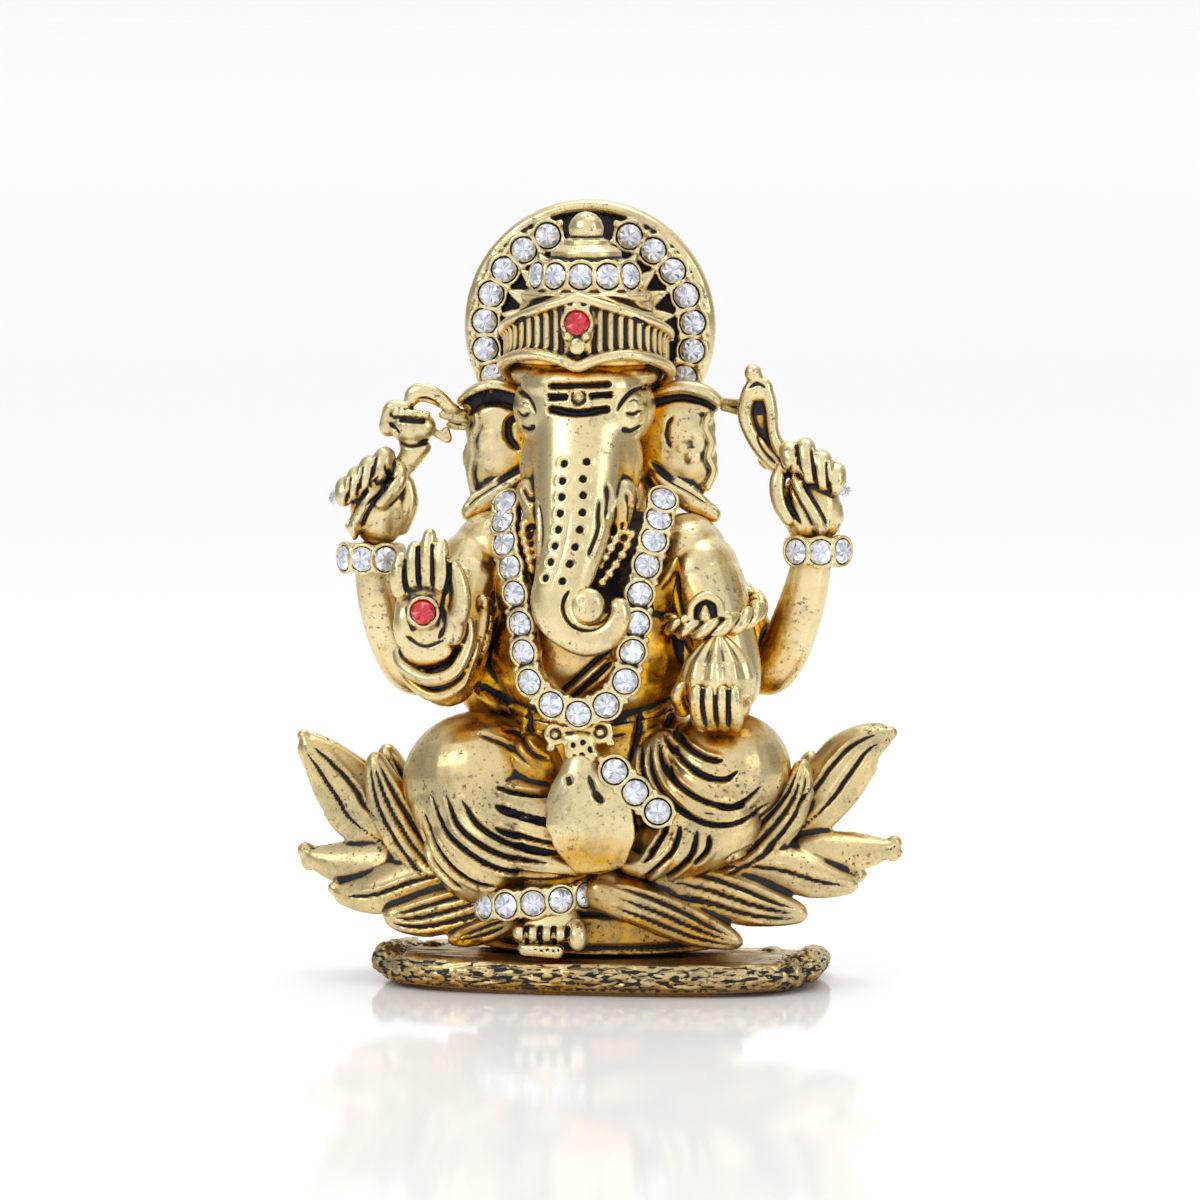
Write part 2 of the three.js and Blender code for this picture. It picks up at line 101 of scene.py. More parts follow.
# %% Camera
CAMERA_AZIMUTH, CAMERA_ELEVATION = math.radians(8.0), math.radians(5.5)
CAMERA_DISTANCE = 0.75
FRAME_WIDTH = 0.1224
aim = Vector((0, 0, 39.1 * MM))
towards = Vector((
    math.sin(CAMERA_AZIMUTH) * math.cos(CAMERA_ELEVATION),
    -math.cos(CAMERA_AZIMUTH) * math.cos(CAMERA_ELEVATION),
    math.sin(CAMERA_ELEVATION),
))
camera_data = bpy.data.cameras.new("camera")
camera = bpy.data.objects.new("camera", camera_data)
bpy.context.collection.objects.link(camera)
camera.location = aim + towards * CAMERA_DISTANCE
camera.rotation_euler = (-towards).to_track_quat("-Z", "Y").to_euler()
camera_data.sensor_width = 36
camera_data.lens = camera_data.sensor_width * CAMERA_DISTANCE / FRAME_WIDTH
camera_data.clip_start, camera_data.clip_end = 0.01, 20
bpy.context.scene.camera = camera
print(f"lens {camera_data.lens:.0f} mm")

# %% [markdown]
# ## Colours and nodes
# A colour is written as the hex value that a paint program shows, and one function turns it into the
# linear numbers that Blender works in. One small function adds a node with its settings and links.


# %% Colour and node helpers
def colour(hex_value):
    """Linear red, green, blue and alpha of an sRGB hex colour."""
    parts = [int(hex_value[i:i + 2], 16) / 255 for i in (1, 3, 5)]
    return [*(v / 12.92 if v <= 0.04045 else ((v + 0.055) / 1.055) ** 2.4 for v in parts), 1.0]


def add(tree, kind, *inputs, take=0, **named):
    """Adds a node and gives one of its outputs. inputs are values or sockets, in the node's own order.
    Of the named ones, those that start with a capital are inputs too, and the others are settings."""
    node = tree.nodes.new("ShaderNode" + kind)
    sockets = dict(enumerate(inputs))
    for name, value in named.items():
        if name[0].isupper():
            sockets[name] = value
        else:
            setattr(node, name, value)
    for name, value in sockets.items():
        if isinstance(value, bpy.types.NodeSocket):
            tree.links.new(value, node.inputs[name])
        else:
            node.inputs[name].default_value = value
    return node.outputs[take]


def ramp(tree, factor, *stops):
    """A colour ramp. Each stop is (position, hex colour or grey value)."""
    output = add(tree, "ValToRGB", factor)
    elements = output.node.color_ramp.elements
    while len(elements) < len(stops):
        elements.new(0.5)
    for element, (position, value) in zip(elements, stops):
        element.position = position
        element.color = colour(value) if isinstance(value, str) else (value, value, value, 1)
    return output


def new_material(name):
    """An empty node material: its tree and its shader."""
    material = bpy.data.materials.new(name)
    material.use_nodes = True
    tree = material.node_tree
    return material, tree, tree.nodes["Principled BSDF"]


# %% [markdown]
# ## Finish 1: antique gold plate
# Plated zinc, dipped in a blue-black patina and wiped. Four things show: pale champagne gold where
# the cloth rubbed, deeper amber in the half-sheltered places and on undersides, which is painted shade
# standing for the gold reflecting itself, blue-black in the hollows, and dark specks and dull grey
# patches where the plate is porous. Where a point is sheltered comes from two sources: each mesh
# carries how far it lies below its surroundings, and ambient occlusion adds what neighbouring pieces
# hide. Metals keep the default IOR, metallic is 1, and patina is dull and not metal.


# %% Antique gold
PATINA, VARNISH, FILM = "#171820", "#6E430B", "#A0987F"


def bark_cracks(tree, place, upright):
    """Short dark cracks that run round the rim of a slab, and grit at its foot."""
    lengthwise = add(tree, "VectorMath", place, (1.0, 1.0, 3.1), operation="MULTIPLY")
    dash = add(tree, "TexNoise", Vector=lengthwise, Scale=820, Detail=1, Roughness=0.3)
    dash = ramp(tree, dash, (0.53, 0.0), (0.57, 1.0))
    grit = add(tree, "TexVoronoi", Vector=place, Scale=1900)
    grit = ramp(tree, grit, (0.38, 0.0), (0.52, 1.0))
    half_height = add(tree, "Math", add(tree, "SeparateXYZ", place, take="Z"), 0.5 / MM, operation="MULTIPLY")
    above_foot = ramp(tree, half_height, (0.36, 0.0), (0.44, 1.0))
    crack = add(tree, "MixRGB", Fac=above_foot, Color1=grit, Color2=dash)
    steep = ramp(tree, add(tree, "Math", upright, operation="ABSOLUTE"), (0.55, 1.0), (0.85, 0.0))
    return add(tree, "Math", crack, steep, operation="MULTIPLY")


def antique_gold(name, pale, amber, speckle=0.75, darkness=1.0, worn=(0.50, 0.72), bark=False):
    """speckle is how many pores keep patina, darkness how much the hollows do, and worn the reach of
    the dull film. bark adds cracks."""
    material, tree, shader = new_material(name)
    place = add(tree, "TexCoord", take="Object")
    upright = add(tree, "SeparateXYZ", add(tree, "NewGeometry", take="Normal"), take="Z")
    hollow = add(tree, "Attribute", attribute_name="hollow", take="Fac")
    broad_shade_depth = add(tree, "Attribute", attribute_name="broad_shade_depth", take="Fac")
    near = add(tree, "AmbientOcclusion", samples=8, Distance=1.3 * MM, take="AO")
    wide = add(tree, "AmbientOcclusion", samples=8, Distance=5.0 * MM, take="AO")

    # patina in the hollows: a cloth leaves an uneven edge, with a grain of about 0.3 mm
    grain = add(tree, "TexNoise", Vector=place, Scale=2600, Detail=3, Roughness=0.6)
    uneven = add(tree, "Math", grain, 0.30, -0.15, operation="MULTIPLY_ADD")
    hidden = add(tree, "Math", 1.0, near, operation="SUBTRACT")
    depth = add(tree, "Math", hollow, darkness, hidden, operation="MULTIPLY_ADD")
    depth = add(tree, "Math", depth, uneven, operation="ADD")
    patina = ramp(tree, depth, (0.42, 0.0), (0.70, 1.0))

    # painted amber shade in the half-sheltered places and on undersides, in blotches about 3 mm across
    blotch = add(tree, "TexNoise", Vector=place, Scale=330, Detail=4, Roughness=0.6)
    far = add(tree, "Math", 1.0, wide, operation="SUBTRACT")
    soft = add(tree, "Math", broad_shade_depth, 0.6, far, operation="MULTIPLY_ADD")
    soft = add(tree, "Math", blotch, 0.5, soft, operation="MULTIPLY_ADD")
    soft = add(tree, "Math", upright, -0.28, soft, operation="MULTIPLY_ADD")
    warmth = ramp(tree, soft, (0.36, 0.0), (0.74, 1.0))
    gold = add(tree, "MixRGB", Fac=warmth, Color1=colour(pale), Color2=colour(amber))

    # brown varnish pools about 1 mm across, laid only inside the painted amber shade
    pool = add(tree, "TexNoise", Vector=place, Scale=900, Detail=5, Roughness=0.65)
    pool = ramp(tree, pool, (0.48, 0.0), (0.70, 0.75))
    pool = add(tree, "Math", pool, warmth, operation="MULTIPLY")
    gold = add(tree, "MixRGB", Fac=pool, Color1=gold, Color2=colour(VARNISH))

    # dull patches where the wipe left a film, with a fine pepper of pores inside them
    film = add(tree, "TexNoise", Vector=place, Scale=190, Detail=9, Roughness=0.74)
    film = ramp(tree, film, (worn[0], 0.0), (worn[1], 0.62))
    gold = add(tree, "MixRGB", Fac=film, Color1=gold, Color2=colour(FILM))
    pepper = add(tree, "TexNoise", Vector=place, Scale=5200, Detail=3, Roughness=0.6)
    pepper = ramp(tree, pepper, (0.53, 0.0), (0.66, 0.9))
    pepper = add(tree, "Math", pepper, film, operation="MULTIPLY")

    # pores of 0.1 to 0.3 mm, filled with patina
    pore = add(tree, "TexVoronoi", Vector=place, Scale=1300, Randomness=1.0)
    pore = ramp(tree, pore, (0.10, 1.0), (0.20, 0.0))
    speck = add(tree, "TexNoise", Vector=place, Scale=1700, Detail=4, Roughness=0.62)
    speck = ramp(tree, speck, (0.575, 0.0), (0.64, 0.9))
    pore = add(tree, "Math", pore, speck, operation="MAXIMUM")
    kept = add(tree, "TexNoise", Vector=place, Scale=260, Detail=4, Roughness=0.6)
    kept = ramp(tree, kept, (0.44, 0.0), (0.58, speckle))
    pore = add(tree, "Math", pore, kept, operation="MULTIPLY")

    stain = add(tree, "Math", patina, pore, operation="MAXIMUM")
    stain = add(tree, "Math", stain, pepper, operation="MAXIMUM")
    bumps = add(tree, "TexNoise", Vector=place, Scale=1500, Detail=3, Roughness=0.55)
    pitted = add(tree, "Math", pore, -0.6, bumps, operation="MULTIPLY_ADD")
    if bark:
        crack = bark_cracks(tree, place, upright)
        stain = add(tree, "Math", stain, crack, operation="MAXIMUM")
        pitted = add(tree, "Math", crack, -3.0, pitted, operation="MULTIPLY_ADD")

    # patina isn't metal, and it is duller than the plate, as the film is
    rough = add(tree, "Math", film, 0.25, 0.27, operation="MULTIPLY_ADD")
    for socket, value in {
        "Base Color": add(tree, "MixRGB", Fac=stain, Color1=gold, Color2=colour(PATINA)),
        "Metallic": add(tree, "Math", stain, -0.8, 1.0, operation="MULTIPLY_ADD"),
        "Roughness": add(tree, "Math", stain, 0.22, rough, operation="MULTIPLY_ADD"),
        "Normal": add(tree, "Bump", Strength=0.22, Distance=0.06 * MM, Height=pitted),
    }.items():
        tree.links.new(value, shader.inputs[socket])
    return material


LESS_WIPED = {"speckle": 0.9, "darkness": 1.15, "worn": (0.42, 0.66)}
GOLD = antique_gold("antique_gold_plate", "#EAD8A6", "#E0A81A")
GOLD_DEEP = antique_gold("antique_gold_plate_less_wiped", "#E6CF96", "#D29A16", **LESS_WIPED)
GOLD_BARK = antique_gold("antique_gold_plate_on_bark", "#DEC388", "#C48C14", bark=True, **LESS_WIPED)
print("three gold finishes: well wiped, less wiped, and less wiped over bark")

# %% [markdown]
# ## Finish 2: foil-backed glass
# The stones are pressed glass with a foil behind, so they look like bright, bluish facets of glass
# over a mirror. Each facet reflects its own part of the room, which gives the sparkle; a cloudy tint
# from facet to facet is a painted reflection that stands for what the foil sends back.


# %% Foil-backed glass
def foiled_glass(name, light, shade):
    material, tree, shader = new_material(name)
    place = add(tree, "TexCoord", take="Object")
    # the facet values and the cloud are a painted reflection of the foil, put into the base colour
    facet = add(tree, "Attribute", attribute_name="facet", take="Fac")
    cloud = add(tree, "TexNoise", Vector=place, Scale=1400, Detail=2)
    mixed = add(tree, "Math", cloud, 0.35, facet, operation="MULTIPLY_ADD")
    painted_foil_reflection = ramp(tree, mixed, (0.15, shade), (0.75, light))
    tree.links.new(painted_foil_reflection, shader.inputs["Base Color"])
    for socket, value in {
        "Metallic": 0.55, "Roughness": 0.10, "Coat Weight": 1.0, "Coat Roughness": 0.02, "Coat IOR": 1.55,
    }.items():
        shader.inputs[socket].default_value = value
    return material


CLEAR_GLASS = foiled_glass("foil_backed_clear_glass", "#EEF2FB", "#98A3B8")
RED_GLASS = foiled_glass("foil_backed_red_glass", "#E22534", "#8E0A16")

# %% [markdown]
# ## The modelling kit
# The castings have no flat faces and no straight edges, so they are built the way they were first
# carved in wax. Rods and lumps are set in place and fused into one skin by a voxel remesh. Then folds,
# slots and eyes are cut and raised by strokes laid on that skin, as with a loop tool.


# %% Kit: selecting and applying
def only(*objects):
    """Selects these objects and nothing else. The last one is active."""
    bpy.ops.object.select_all(action="DESELECT")
    for item in objects:
        item.select_set(True)
    bpy.context.view_layer.objects.active = objects[-1]


def apply_modifier(item, kind, **settings):
    """Adds a modifier and applies it at once."""
    only(item)
    modifier = item.modifiers.new(kind.lower(), kind)
    for name, value in settings.items():
        setattr(modifier, name, value)
    bpy.ops.object.modifier_apply(modifier=modifier.name)


def read(items, key, width, kind=float):
    """One value of every vertex or edge of a mesh, as rows of that width."""
    values = np.empty(len(items) * width, kind)
    items.foreach_get(key, values)
    return values.reshape(-1, width)


def steps_along(line):
    """How far along a line each of its points lies."""
    return np.r_[0, np.cumsum(np.linalg.norm(np.diff(line, axis=0), axis=1))]


# %% Kit: lumps, rings and rods
def spline(points, count):
    """A smooth line through the points, at count even steps."""
    p = np.array(points, float)
    if len(p) == 1:
        return np.repeat(p, count, axis=0)
    p = np.vstack([2 * p[0] - p[1], p, 2 * p[-1] - p[-2]])
    t = np.linspace(0, len(p) - 3, count)
    i = np.minimum(t.astype(int), len(p) - 4)
    f = (t - i)[:, None]
    a, b, c, d = p[i], p[i + 1], p[i + 2], p[i + 3]
    return 0.5 * (2 * b + (c - a) * f + (2 * a - 5 * b + 4 * c - d) * f**2 + (3 * b - a - 3 * c + d) * f**3)


def lump(centre, radii, turn=(0, 0, 0)):
    """A rounded mass. turn is in degrees about X, Y and Z."""
    bpy.ops.mesh.primitive_uv_sphere_add(segments=28, ring_count=18, radius=1, location=centre)
    item = bpy.context.object
    item.scale = radii
    item.rotation_euler = [math.radians(v) for v in turn]
    return item


def hoop(centre, radius, tube, turn=(90, 0, 0), squash=(1, 1, 1)):
    """A ring. Unturned it lies flat; turned 90 degrees about X it faces the front."""
    bpy.ops.mesh.primitive_torus_add(
        major_segments=48, minor_segments=12, major_radius=radius, minor_radius=tube,
        location=centre, rotation=[math.radians(v) for v in turn],
    )
    bpy.context.object.scale = squash
    return bpy.context.object


def mesh_object(name, points, faces):
    """An object with that mesh, linked to the scene."""
    mesh = bpy.data.meshes.new(name)
    mesh.from_pydata([tuple(p) for p in points], [], faces)
    item = bpy.data.objects.new(name, mesh)
    bpy.context.collection.objects.link(item)
    return item


def rod(path, wide, thick=None, face=FRONT, sides=24, rings=36, section=None, blunt=True):
    """A bent bar through the path. wide is its half width across the face direction, thick the half
    thickness towards it. section shapes the thickness from edge to edge, and blunt rounds the ends."""
    spine = spline(path, rings)
    along = np.gradient(spine, axis=0)
    along /= np.linalg.norm(along, axis=1)[:, None]
    across = np.cross(along, np.array(face, float))
    across /= np.linalg.norm(across, axis=1)[:, None]
    out = np.cross(across, along)
    places = np.linspace(0, 1, rings)
    half = np.interp(places, np.linspace(0, 1, len(wide)), wide)
    deep = half if thick is None else np.interp(places, np.linspace(0, 1, len(thick)), thick)
    if blunt:
        steps = steps_along(spine)
        reach = np.minimum(half, deep)
        from_end = np.minimum(steps, steps[-1] - steps)
        close = np.clip(from_end / np.maximum(reach, 1e-3), 0.03, 1)
        rounding = np.sqrt(1 - (1 - close) ** 2)
        half, deep = half * rounding, deep * rounding
    angle = np.arange(sides) / sides * 2 * math.pi
    u, v = np.cos(angle), np.sin(angle)
    if section is not None:
        v = v * np.array([section(value) for value in u])
    points = (
        spine[:, None]
        + across[:, None] * (half[:, None] * u)[..., None]
        + out[:, None] * (deep[:, None] * v)[..., None]
    ).reshape(-1, 3)
    faces = [
        (r * sides + s, (r + 1) * sides + s, (r + 1) * sides + (s + 1) % sides, r * sides + (s + 1) % sides)
        for r in range(rings - 1) for s in range(sides)
    ]
    faces.append(tuple(range(sides)))
    faces.append(tuple(range((rings - 1) * sides, rings * sides))[::-1])
    return mesh_object("rod", points, faces)


def bead_row(path, count, radius):
    """Small balls at even steps along a path."""
    line = spline(path, 200)
    steps = steps_along(line)
    row = []
    for distance in np.linspace(0, steps[-1], count):
        bpy.ops.mesh.primitive_ico_sphere_add(
            subdivisions=2, radius=radius,
            location=[np.interp(distance, steps, line[:, axis]) for axis in range(3)],
        )
        row.append(bpy.context.object)
    return row


# %% Kit: fusing
def drop_bubbles(item):
    """Deletes what isn't linked to the highest point: the closed bubbles that a wrap can leave inside."""
    top = read(item.data.vertices, "co", 3)[:, 2].argmax()
    bpy.ops.object.mode_set(mode="EDIT")
    bpy.ops.mesh.select_mode(type="VERT")
    bpy.ops.mesh.select_all(action="DESELECT")
    bpy.ops.object.mode_set(mode="OBJECT")
    item.data.vertices[int(top)].select = True
    bpy.ops.object.mode_set(mode="EDIT")
    bpy.ops.mesh.select_linked()
    bpy.ops.mesh.select_all(action="INVERT")
    bpy.ops.mesh.delete(type="VERT")
    bpy.ops.object.mode_set(mode="OBJECT")


def fuse(name, parts, voxel=0.2, soften=3):
    """Joins the parts and wraps them in one closed skin of voxel-sized quads."""
    only(*parts)
    bpy.ops.object.transform_apply(location=True, rotation=True, scale=True)
    if len(parts) > 1:
        bpy.ops.object.join()
    item = bpy.context.object
    item.name = item.data.name = name
    apply_modifier(item, "REMESH", mode="VOXEL", voxel_size=voxel, adaptivity=0)
    drop_bubbles(item)
    if soften:
        apply_modifier(item, "SMOOTH", factor=0.5, iterations=soften)
    return item


# %% Kit: strokes on the skin
def neighbours(mesh):
    """Every edge both ways: the points it starts from, and the points it leads to."""
    edges = read(mesh.edges, "vertices", 2, np.int32)
    return np.r_[edges[:, 0], edges[:, 1]], np.r_[edges[:, 1], edges[:, 0]]


def relaxed_once(at, ends, others, count):
    """The middle of each point's neighbours."""
    return np.stack([np.bincount(ends, at[others, k], minlength=len(at)) / count for k in range(3)], axis=1)


class Clay:
    """The points of a fused casting, worked by strokes seen from the front, the back or a side."""

    VIEWS = {"front": (0, 2, 1, -1), "back": (0, 2, 1, 1), "right": (1, 2, 0, -1), "left": (1, 2, 0, 1)}

    def __init__(self, item):
        self.item = item
        self.at = read(item.data.vertices, "co", 3)
        self.normal = read(item.data.vertices, "normal", 3, np.float32).astype(float)

    def stroke(self, path, width, depth, view="front", taper=(0.25, 0.25), facing=0.1, within=None):
        """Cuts a groove of that half width and depth along the path, or raises a ridge if depth is
        negative. taper is the share of the path over which each end fades. within limits the third
        axis, to keep a stroke off a part that lies in front or behind."""
        a, b, c, sign = self.VIEWS[view]
        line = spline(path, 1 if len(path) == 1 else 64)
        flat = self.at[:, (a, b)]
        near = np.all((flat > line.min(0) - width) & (flat < line.max(0) + width), axis=1)
        near &= self.normal[:, c] * sign > facing
        if within:
            near &= (self.at[:, c] > within[0]) & (self.at[:, c] < within[1])
        index = np.flatnonzero(near)
        if not len(index):
            return self
        distance = np.linalg.norm(flat[index][:, None] - line[None], axis=2)
        nearest = distance.argmin(axis=1)
        distance = distance[np.arange(len(index)), nearest]
        fade = np.ones(len(index))
        if len(line) > 1:
            t = nearest / (len(line) - 1)
            start, end = (max(v, 1e-3) for v in taper)
            fade = np.clip(np.minimum(t / start, (1 - t) / end), 0, 1)
            fade = fade * (2 - fade)
        reach = width * (0.45 + 0.55 * fade)
        shape = np.clip(1 - (distance / reach) ** 2, 0, 1) ** 1.5
        self.at[index] -= self.normal[index] * (depth * fade * shape)[:, None]
        return self

    def press(self, centre, radius, depth):
        """Presses a round hollow at a point, or swells it if depth is negative."""
        distance = np.linalg.norm(self.at - np.array(centre, float), axis=1) / radius
        shape = np.clip(1 - distance**2, 0, 1) ** 1.5
        self.at -= self.normal * (depth * shape)[:, None]
        return self

    def rub(self, centre, radii, rounds=40):
        """Rubs the skin smooth inside an ellipsoid."""
        away = np.sum(((self.at - np.array(centre, float)) / np.array(radii, float)) ** 2, axis=1)
        weight = np.clip(1.6 * (1 - away), 0, 1)[:, None]
        ends, others = neighbours(self.item.data)
        keep = away[ends] < 1
        ends, others = ends[keep], others[keep]
        count = np.maximum(np.bincount(ends, minlength=len(self.at)), 1)
        for _ in range(rounds):
            middle = relaxed_once(self.at, ends, others, count)
            self.at += np.where(away[:, None] < 1, 0.6 * weight * (middle - self.at), 0)
        return self

    def done(self):
        """Puts the worked points back and returns the casting."""
        self.item.data.vertices.foreach_set("co", self.at.ravel())
        self.item.data.update()
        return self.item


# %% [markdown]
# ## How sheltered each point is
# A cloth can't reach what lies below its surroundings, where the patina stays. To measure that, a copy
# of the mesh is relaxed step by step, and each point is compared with where the relaxed skin ran. A few
# steps find narrow grooves, which keep the patina; many steps find broad valleys, which the gold finish
# paints with amber shade. Both are kept on the mesh for the gold finish to read.


# %% Finishing a piece
def depth_below(at, normal, ends, others, rounds):
    """How far each point lies below its relaxed skin, in millimetres."""
    count = np.maximum(np.bincount(ends, minlength=len(at)), 1)
    relaxed = at.copy()
    for _ in range(rounds):
        relaxed = 0.5 * (relaxed + relaxed_once(relaxed, ends, others, count))
    return np.einsum("ij,ij->i", relaxed - at, normal)


def shelter_of(item, fine=0.10, broad=0.45, dark=None, warm=None):
    """Writes the two depth values, from 0 in the open to 1 in the deep: the fine one is where the patina
    stays, and the broad one is where the gold finish paints amber shade. fine and broad are the depths in
    millimetres that count as deep. dark and the last function take the points and give what neighbouring
    pieces add to each: dark to the patina, the last to the painted amber shade."""
    mesh = item.data
    at = read(mesh.vertices, "co", 3)
    normal = read(mesh.vertices, "normal", 3, np.float32)
    ends, others = neighbours(mesh)
    for name, scale, rounds, more in (("hollow", fine, 24, dark), ("broad_shade_depth", broad, 120, warm)):
        value = depth_below(at, normal, ends, others, rounds) / scale
        if more:
            value = np.clip(value, -0.3, 1) + more(*at.T)
        attribute = mesh.attributes.new(name, "FLOAT", "POINT")
        attribute.data.foreach_set("value", np.clip(value, -1, 1).astype(np.float32))


def finish_casting(item, *nodes, material=GOLD, **scales):
    """Measures the shelter, scales the mesh to metres, gives it its finish and hands it to the frame."""
    shelter_of(item, **scales)
    item.data.transform(Matrix.Scale(MM, 4))
    item.data.materials.clear()
    item.data.materials.append(material)
    only(item)
    bpy.ops.object.shade_smooth()
    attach(item, "root")
    if nodes:
        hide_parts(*nodes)
    size = np.array(item.dimensions) / MM
    print(f"{item.name}: {size[0]:.1f} x {size[1]:.1f} x {size[2]:.1f} mm, {len(item.data.polygons)} faces")
    return item


# %% [markdown]
# ## Studio
# Polished castings show their surroundings more than their own colour, so the room matters. A white
# room with two large soft boxes in front gives pale, even gold on faces that look forward, and the
# undersides, which only see their neighbours, turn deep amber; the gold finish also paints amber shade
# into the undersides. The side walls are a shade darker, and that draws the contour of rounded forms.
# The floor is white acrylic, which gives back a faint, blurred reflection.

# %% Studio
studio = bpy.data.worlds.new("studio")
bpy.context.scene.world = studio
studio.use_nodes = True
room = studio.node_tree
way = add(room, "TexCoord", take="Generated")
sideways = add(room, "Math", add(room, "SeparateXYZ", way, take="X"), operation="ABSOLUTE")
walls = ramp(room, sideways, (0.42, "#FDFDFF"), (0.85, "#A5A3A1"))
room.links.new(walls, room.nodes["Background"].inputs["Color"])
room.nodes["Background"].inputs["Strength"].default_value = 1.0
bpy.context.scene.view_settings.view_transform = "Standard"

bpy.ops.object.select_all(action="DESELECT")
bpy.ops.mesh.primitive_plane_add(size=14, location=(0, 0, -0.02 * MM))
floor = bpy.context.object
floor.name = "floor"
acrylic, tree, shader = new_material("white_acrylic_floor")
for socket, value in {"Base Color": colour("#FFFFFF"), "Roughness": 0.09, "IOR": 1.22}.items():
    shader.inputs[socket].default_value = value
floor.data.materials.append(acrylic)


def soft_box(name, place, width, height, power):
    """A rectangular light that looks at the figure. Places and sizes are in metres, power in watts."""
    data = bpy.data.lights.new(name, "AREA")
    data.shape, data.size, data.size_y, data.energy = "RECTANGLE", width, height, power
    item = bpy.data.objects.new(name, data)
    bpy.context.collection.objects.link(item)
    item.location = place
    item.rotation_euler = (aim - Vector(place)).to_track_quat("-Z", "Y").to_euler()


soft_box("key", (-0.42, -0.50, 0.45), 0.30, 0.30, 0.9)
soft_box("fill", (0.55, -0.35, 0.25), 0.22, 0.40, 0.6)
soft_box("top", (0.05, 0.10, 0.60), 0.45, 0.30, 1.0)
print("a white room, an acrylic floor and three soft boxes")

# %% [markdown]
# ## The glass stones
# All the stones are one pressed glass shape: a flat table, a ring of star and kite facets, and a
# shallow pointed back. It is modelled once. Under the table the facets of the foiled back show as a
# star, so the table is divided as that star, and each facet carries its own brightness, a painted
# reflection of the foil.

# %% The pattern stone
STONE_RADIUS = 1.25
CHANCE = np.random.default_rng(57)


def ring_of(count, radius, height, offset=0.0):
    """Points round the upright axis, turned on by a share of one step."""
    steps = (np.arange(count) + offset) / count * 2 * math.pi
    return [(radius * math.cos(a), radius * math.sin(a), height) for a in steps]


def chaton():
    """The stone in its own frame: its table looks up, and its girdle lies at height 0."""
    points = [(0, 0, 0.42)] + ring_of(8, 0.36, 0.42) + ring_of(8, 0.80, 0.42, 0.5)
    points += ring_of(8, 1.04, 0.26) + ring_of(16, STONE_RADIUS, 0.0) + [(0, 0, -0.5)]
    centre, star, table, kite, girdle, back = 0, 1, 9, 17, 25, 41
    faces = []
    for i in range(8):
        j = (i + 1) % 8
        faces += [
            (centre, star + i, table + i), (centre, table + i, star + j),
            (table + i, star + i, kite + i), (table + i, kite + j, star + j),
            (table + i, kite + i, girdle + 2 * i + 1),
            (table + i, girdle + 2 * i + 1, kite + j),
            (kite + i, girdle + 2 * i, girdle + 2 * i + 1),
            (kite + j, girdle + 2 * i + 1, girdle + (2 * i + 2) % 16),
            (back, girdle + 2 * i + 1, girdle + 2 * i), (back, girdle + (2 * i + 2) % 16, girdle + 2 * i + 1),
        ]
    item = mesh_object("chaton", points, faces)
    only(item)
    bpy.ops.object.mode_set(mode="EDIT")
    bpy.ops.mesh.select_all(action="SELECT")
    bpy.ops.mesh.normals_make_consistent(inside=False)
    bpy.ops.object.mode_set(mode="OBJECT")
    return item


pattern_stone = chaton()
FACETS = len(pattern_stone.data.polygons)
print(f"the pattern stone has {FACETS} facets")

# %% [markdown]
# ## Setting the stones
# Each stone is a copy of the pattern, turned to the way its cup faces, with its own spin and its own
# painted facet reflections. The CAD nodes give the places. The stones that the CAD model joins to the
# necklace and the ones on the sash and the finger rings are set later, with their castings.


# %% Set stones
def set_stone(name, centre, facing, glass, *nodes, radius=STONE_RADIUS):
    """A copy of the pattern with its girdle at the centre."""
    item = pattern_stone.copy()
    item.data = pattern_stone.data.copy()
    item.name = item.data.name = name
    bpy.context.collection.objects.link(item)
    turn = Vector(facing).to_track_quat("Z", "Y").to_matrix().to_4x4()
    spin = Matrix.Rotation(CHANCE.uniform(0, math.pi / 4), 4, "Z")
    size = Matrix.Scale(MM * radius / STONE_RADIUS, 4)
    item.data.transform(Matrix.Translation(Vector(centre) * MM) @ turn @ spin @ size)
    # each facet gets a random brightness, a painted reflection of the foil
    sparkle = item.data.attributes.new("facet", "FLOAT", "FACE")
    sparkle.data.foreach_set("value", CHANCE.uniform(0, 1, FACETS).astype(np.float32))
    item.data.materials.append(glass)
    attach(item, "root")
    if nodes:
        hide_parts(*nodes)
    return item


ANKLE = np.array([-5.6, -5.4])          # the upright axis that the anklet bends round
CROWN_AXIS = np.array([-1.1, -2.2])     # the upright axis of the crown
CROWN_SQUASH = 0.74                     # its depth against its width


def facing_of(node, centre):
    """The way a stone looks, from where it sits on its casting."""
    if "crown" in node:
        x, y = centre[:2] - CROWN_AXIS
        return Vector((x * CROWN_SQUASH, y / CROWN_SQUASH, 0.75)).normalized()
    if "wrist" in node:
        side = "right" if "right" in node else "left"
        x, y = (centre - box_mm(f"{side}_bracelet")[2])[:2]
        return Vector((x, y, 0)).normalized()
    if "anklet" in node:
        return Vector((*(centre[:2] - ANKLE), 0)).normalized()
    if "halo" in node:
        return Vector(FRONT)
    return Vector((0, -1, 0.1)).normalized()


GIRDLE_ABOVE_MIDDLE = 0.165             # the girdle lies this far in front of a CAD stone's middle
SEATS = {}                              # each stone's girdle centre and facing, for its cup
for node in sorted(name for name in frame["nodes"] if name.startswith("stone_")):
    centre = box_mm(node)[2]
    facing = facing_of(node, centre)
    girdle = Vector(centre) + facing * GIRDLE_ABOVE_MIDDLE
    SEATS[node] = (girdle, facing)
    set_stone(node + "_glass", girdle, facing, RED_GLASS if "red" in node else CLEAR_GLASS, node)
print(f"{len(SEATS)} stones set from the CAD nodes")


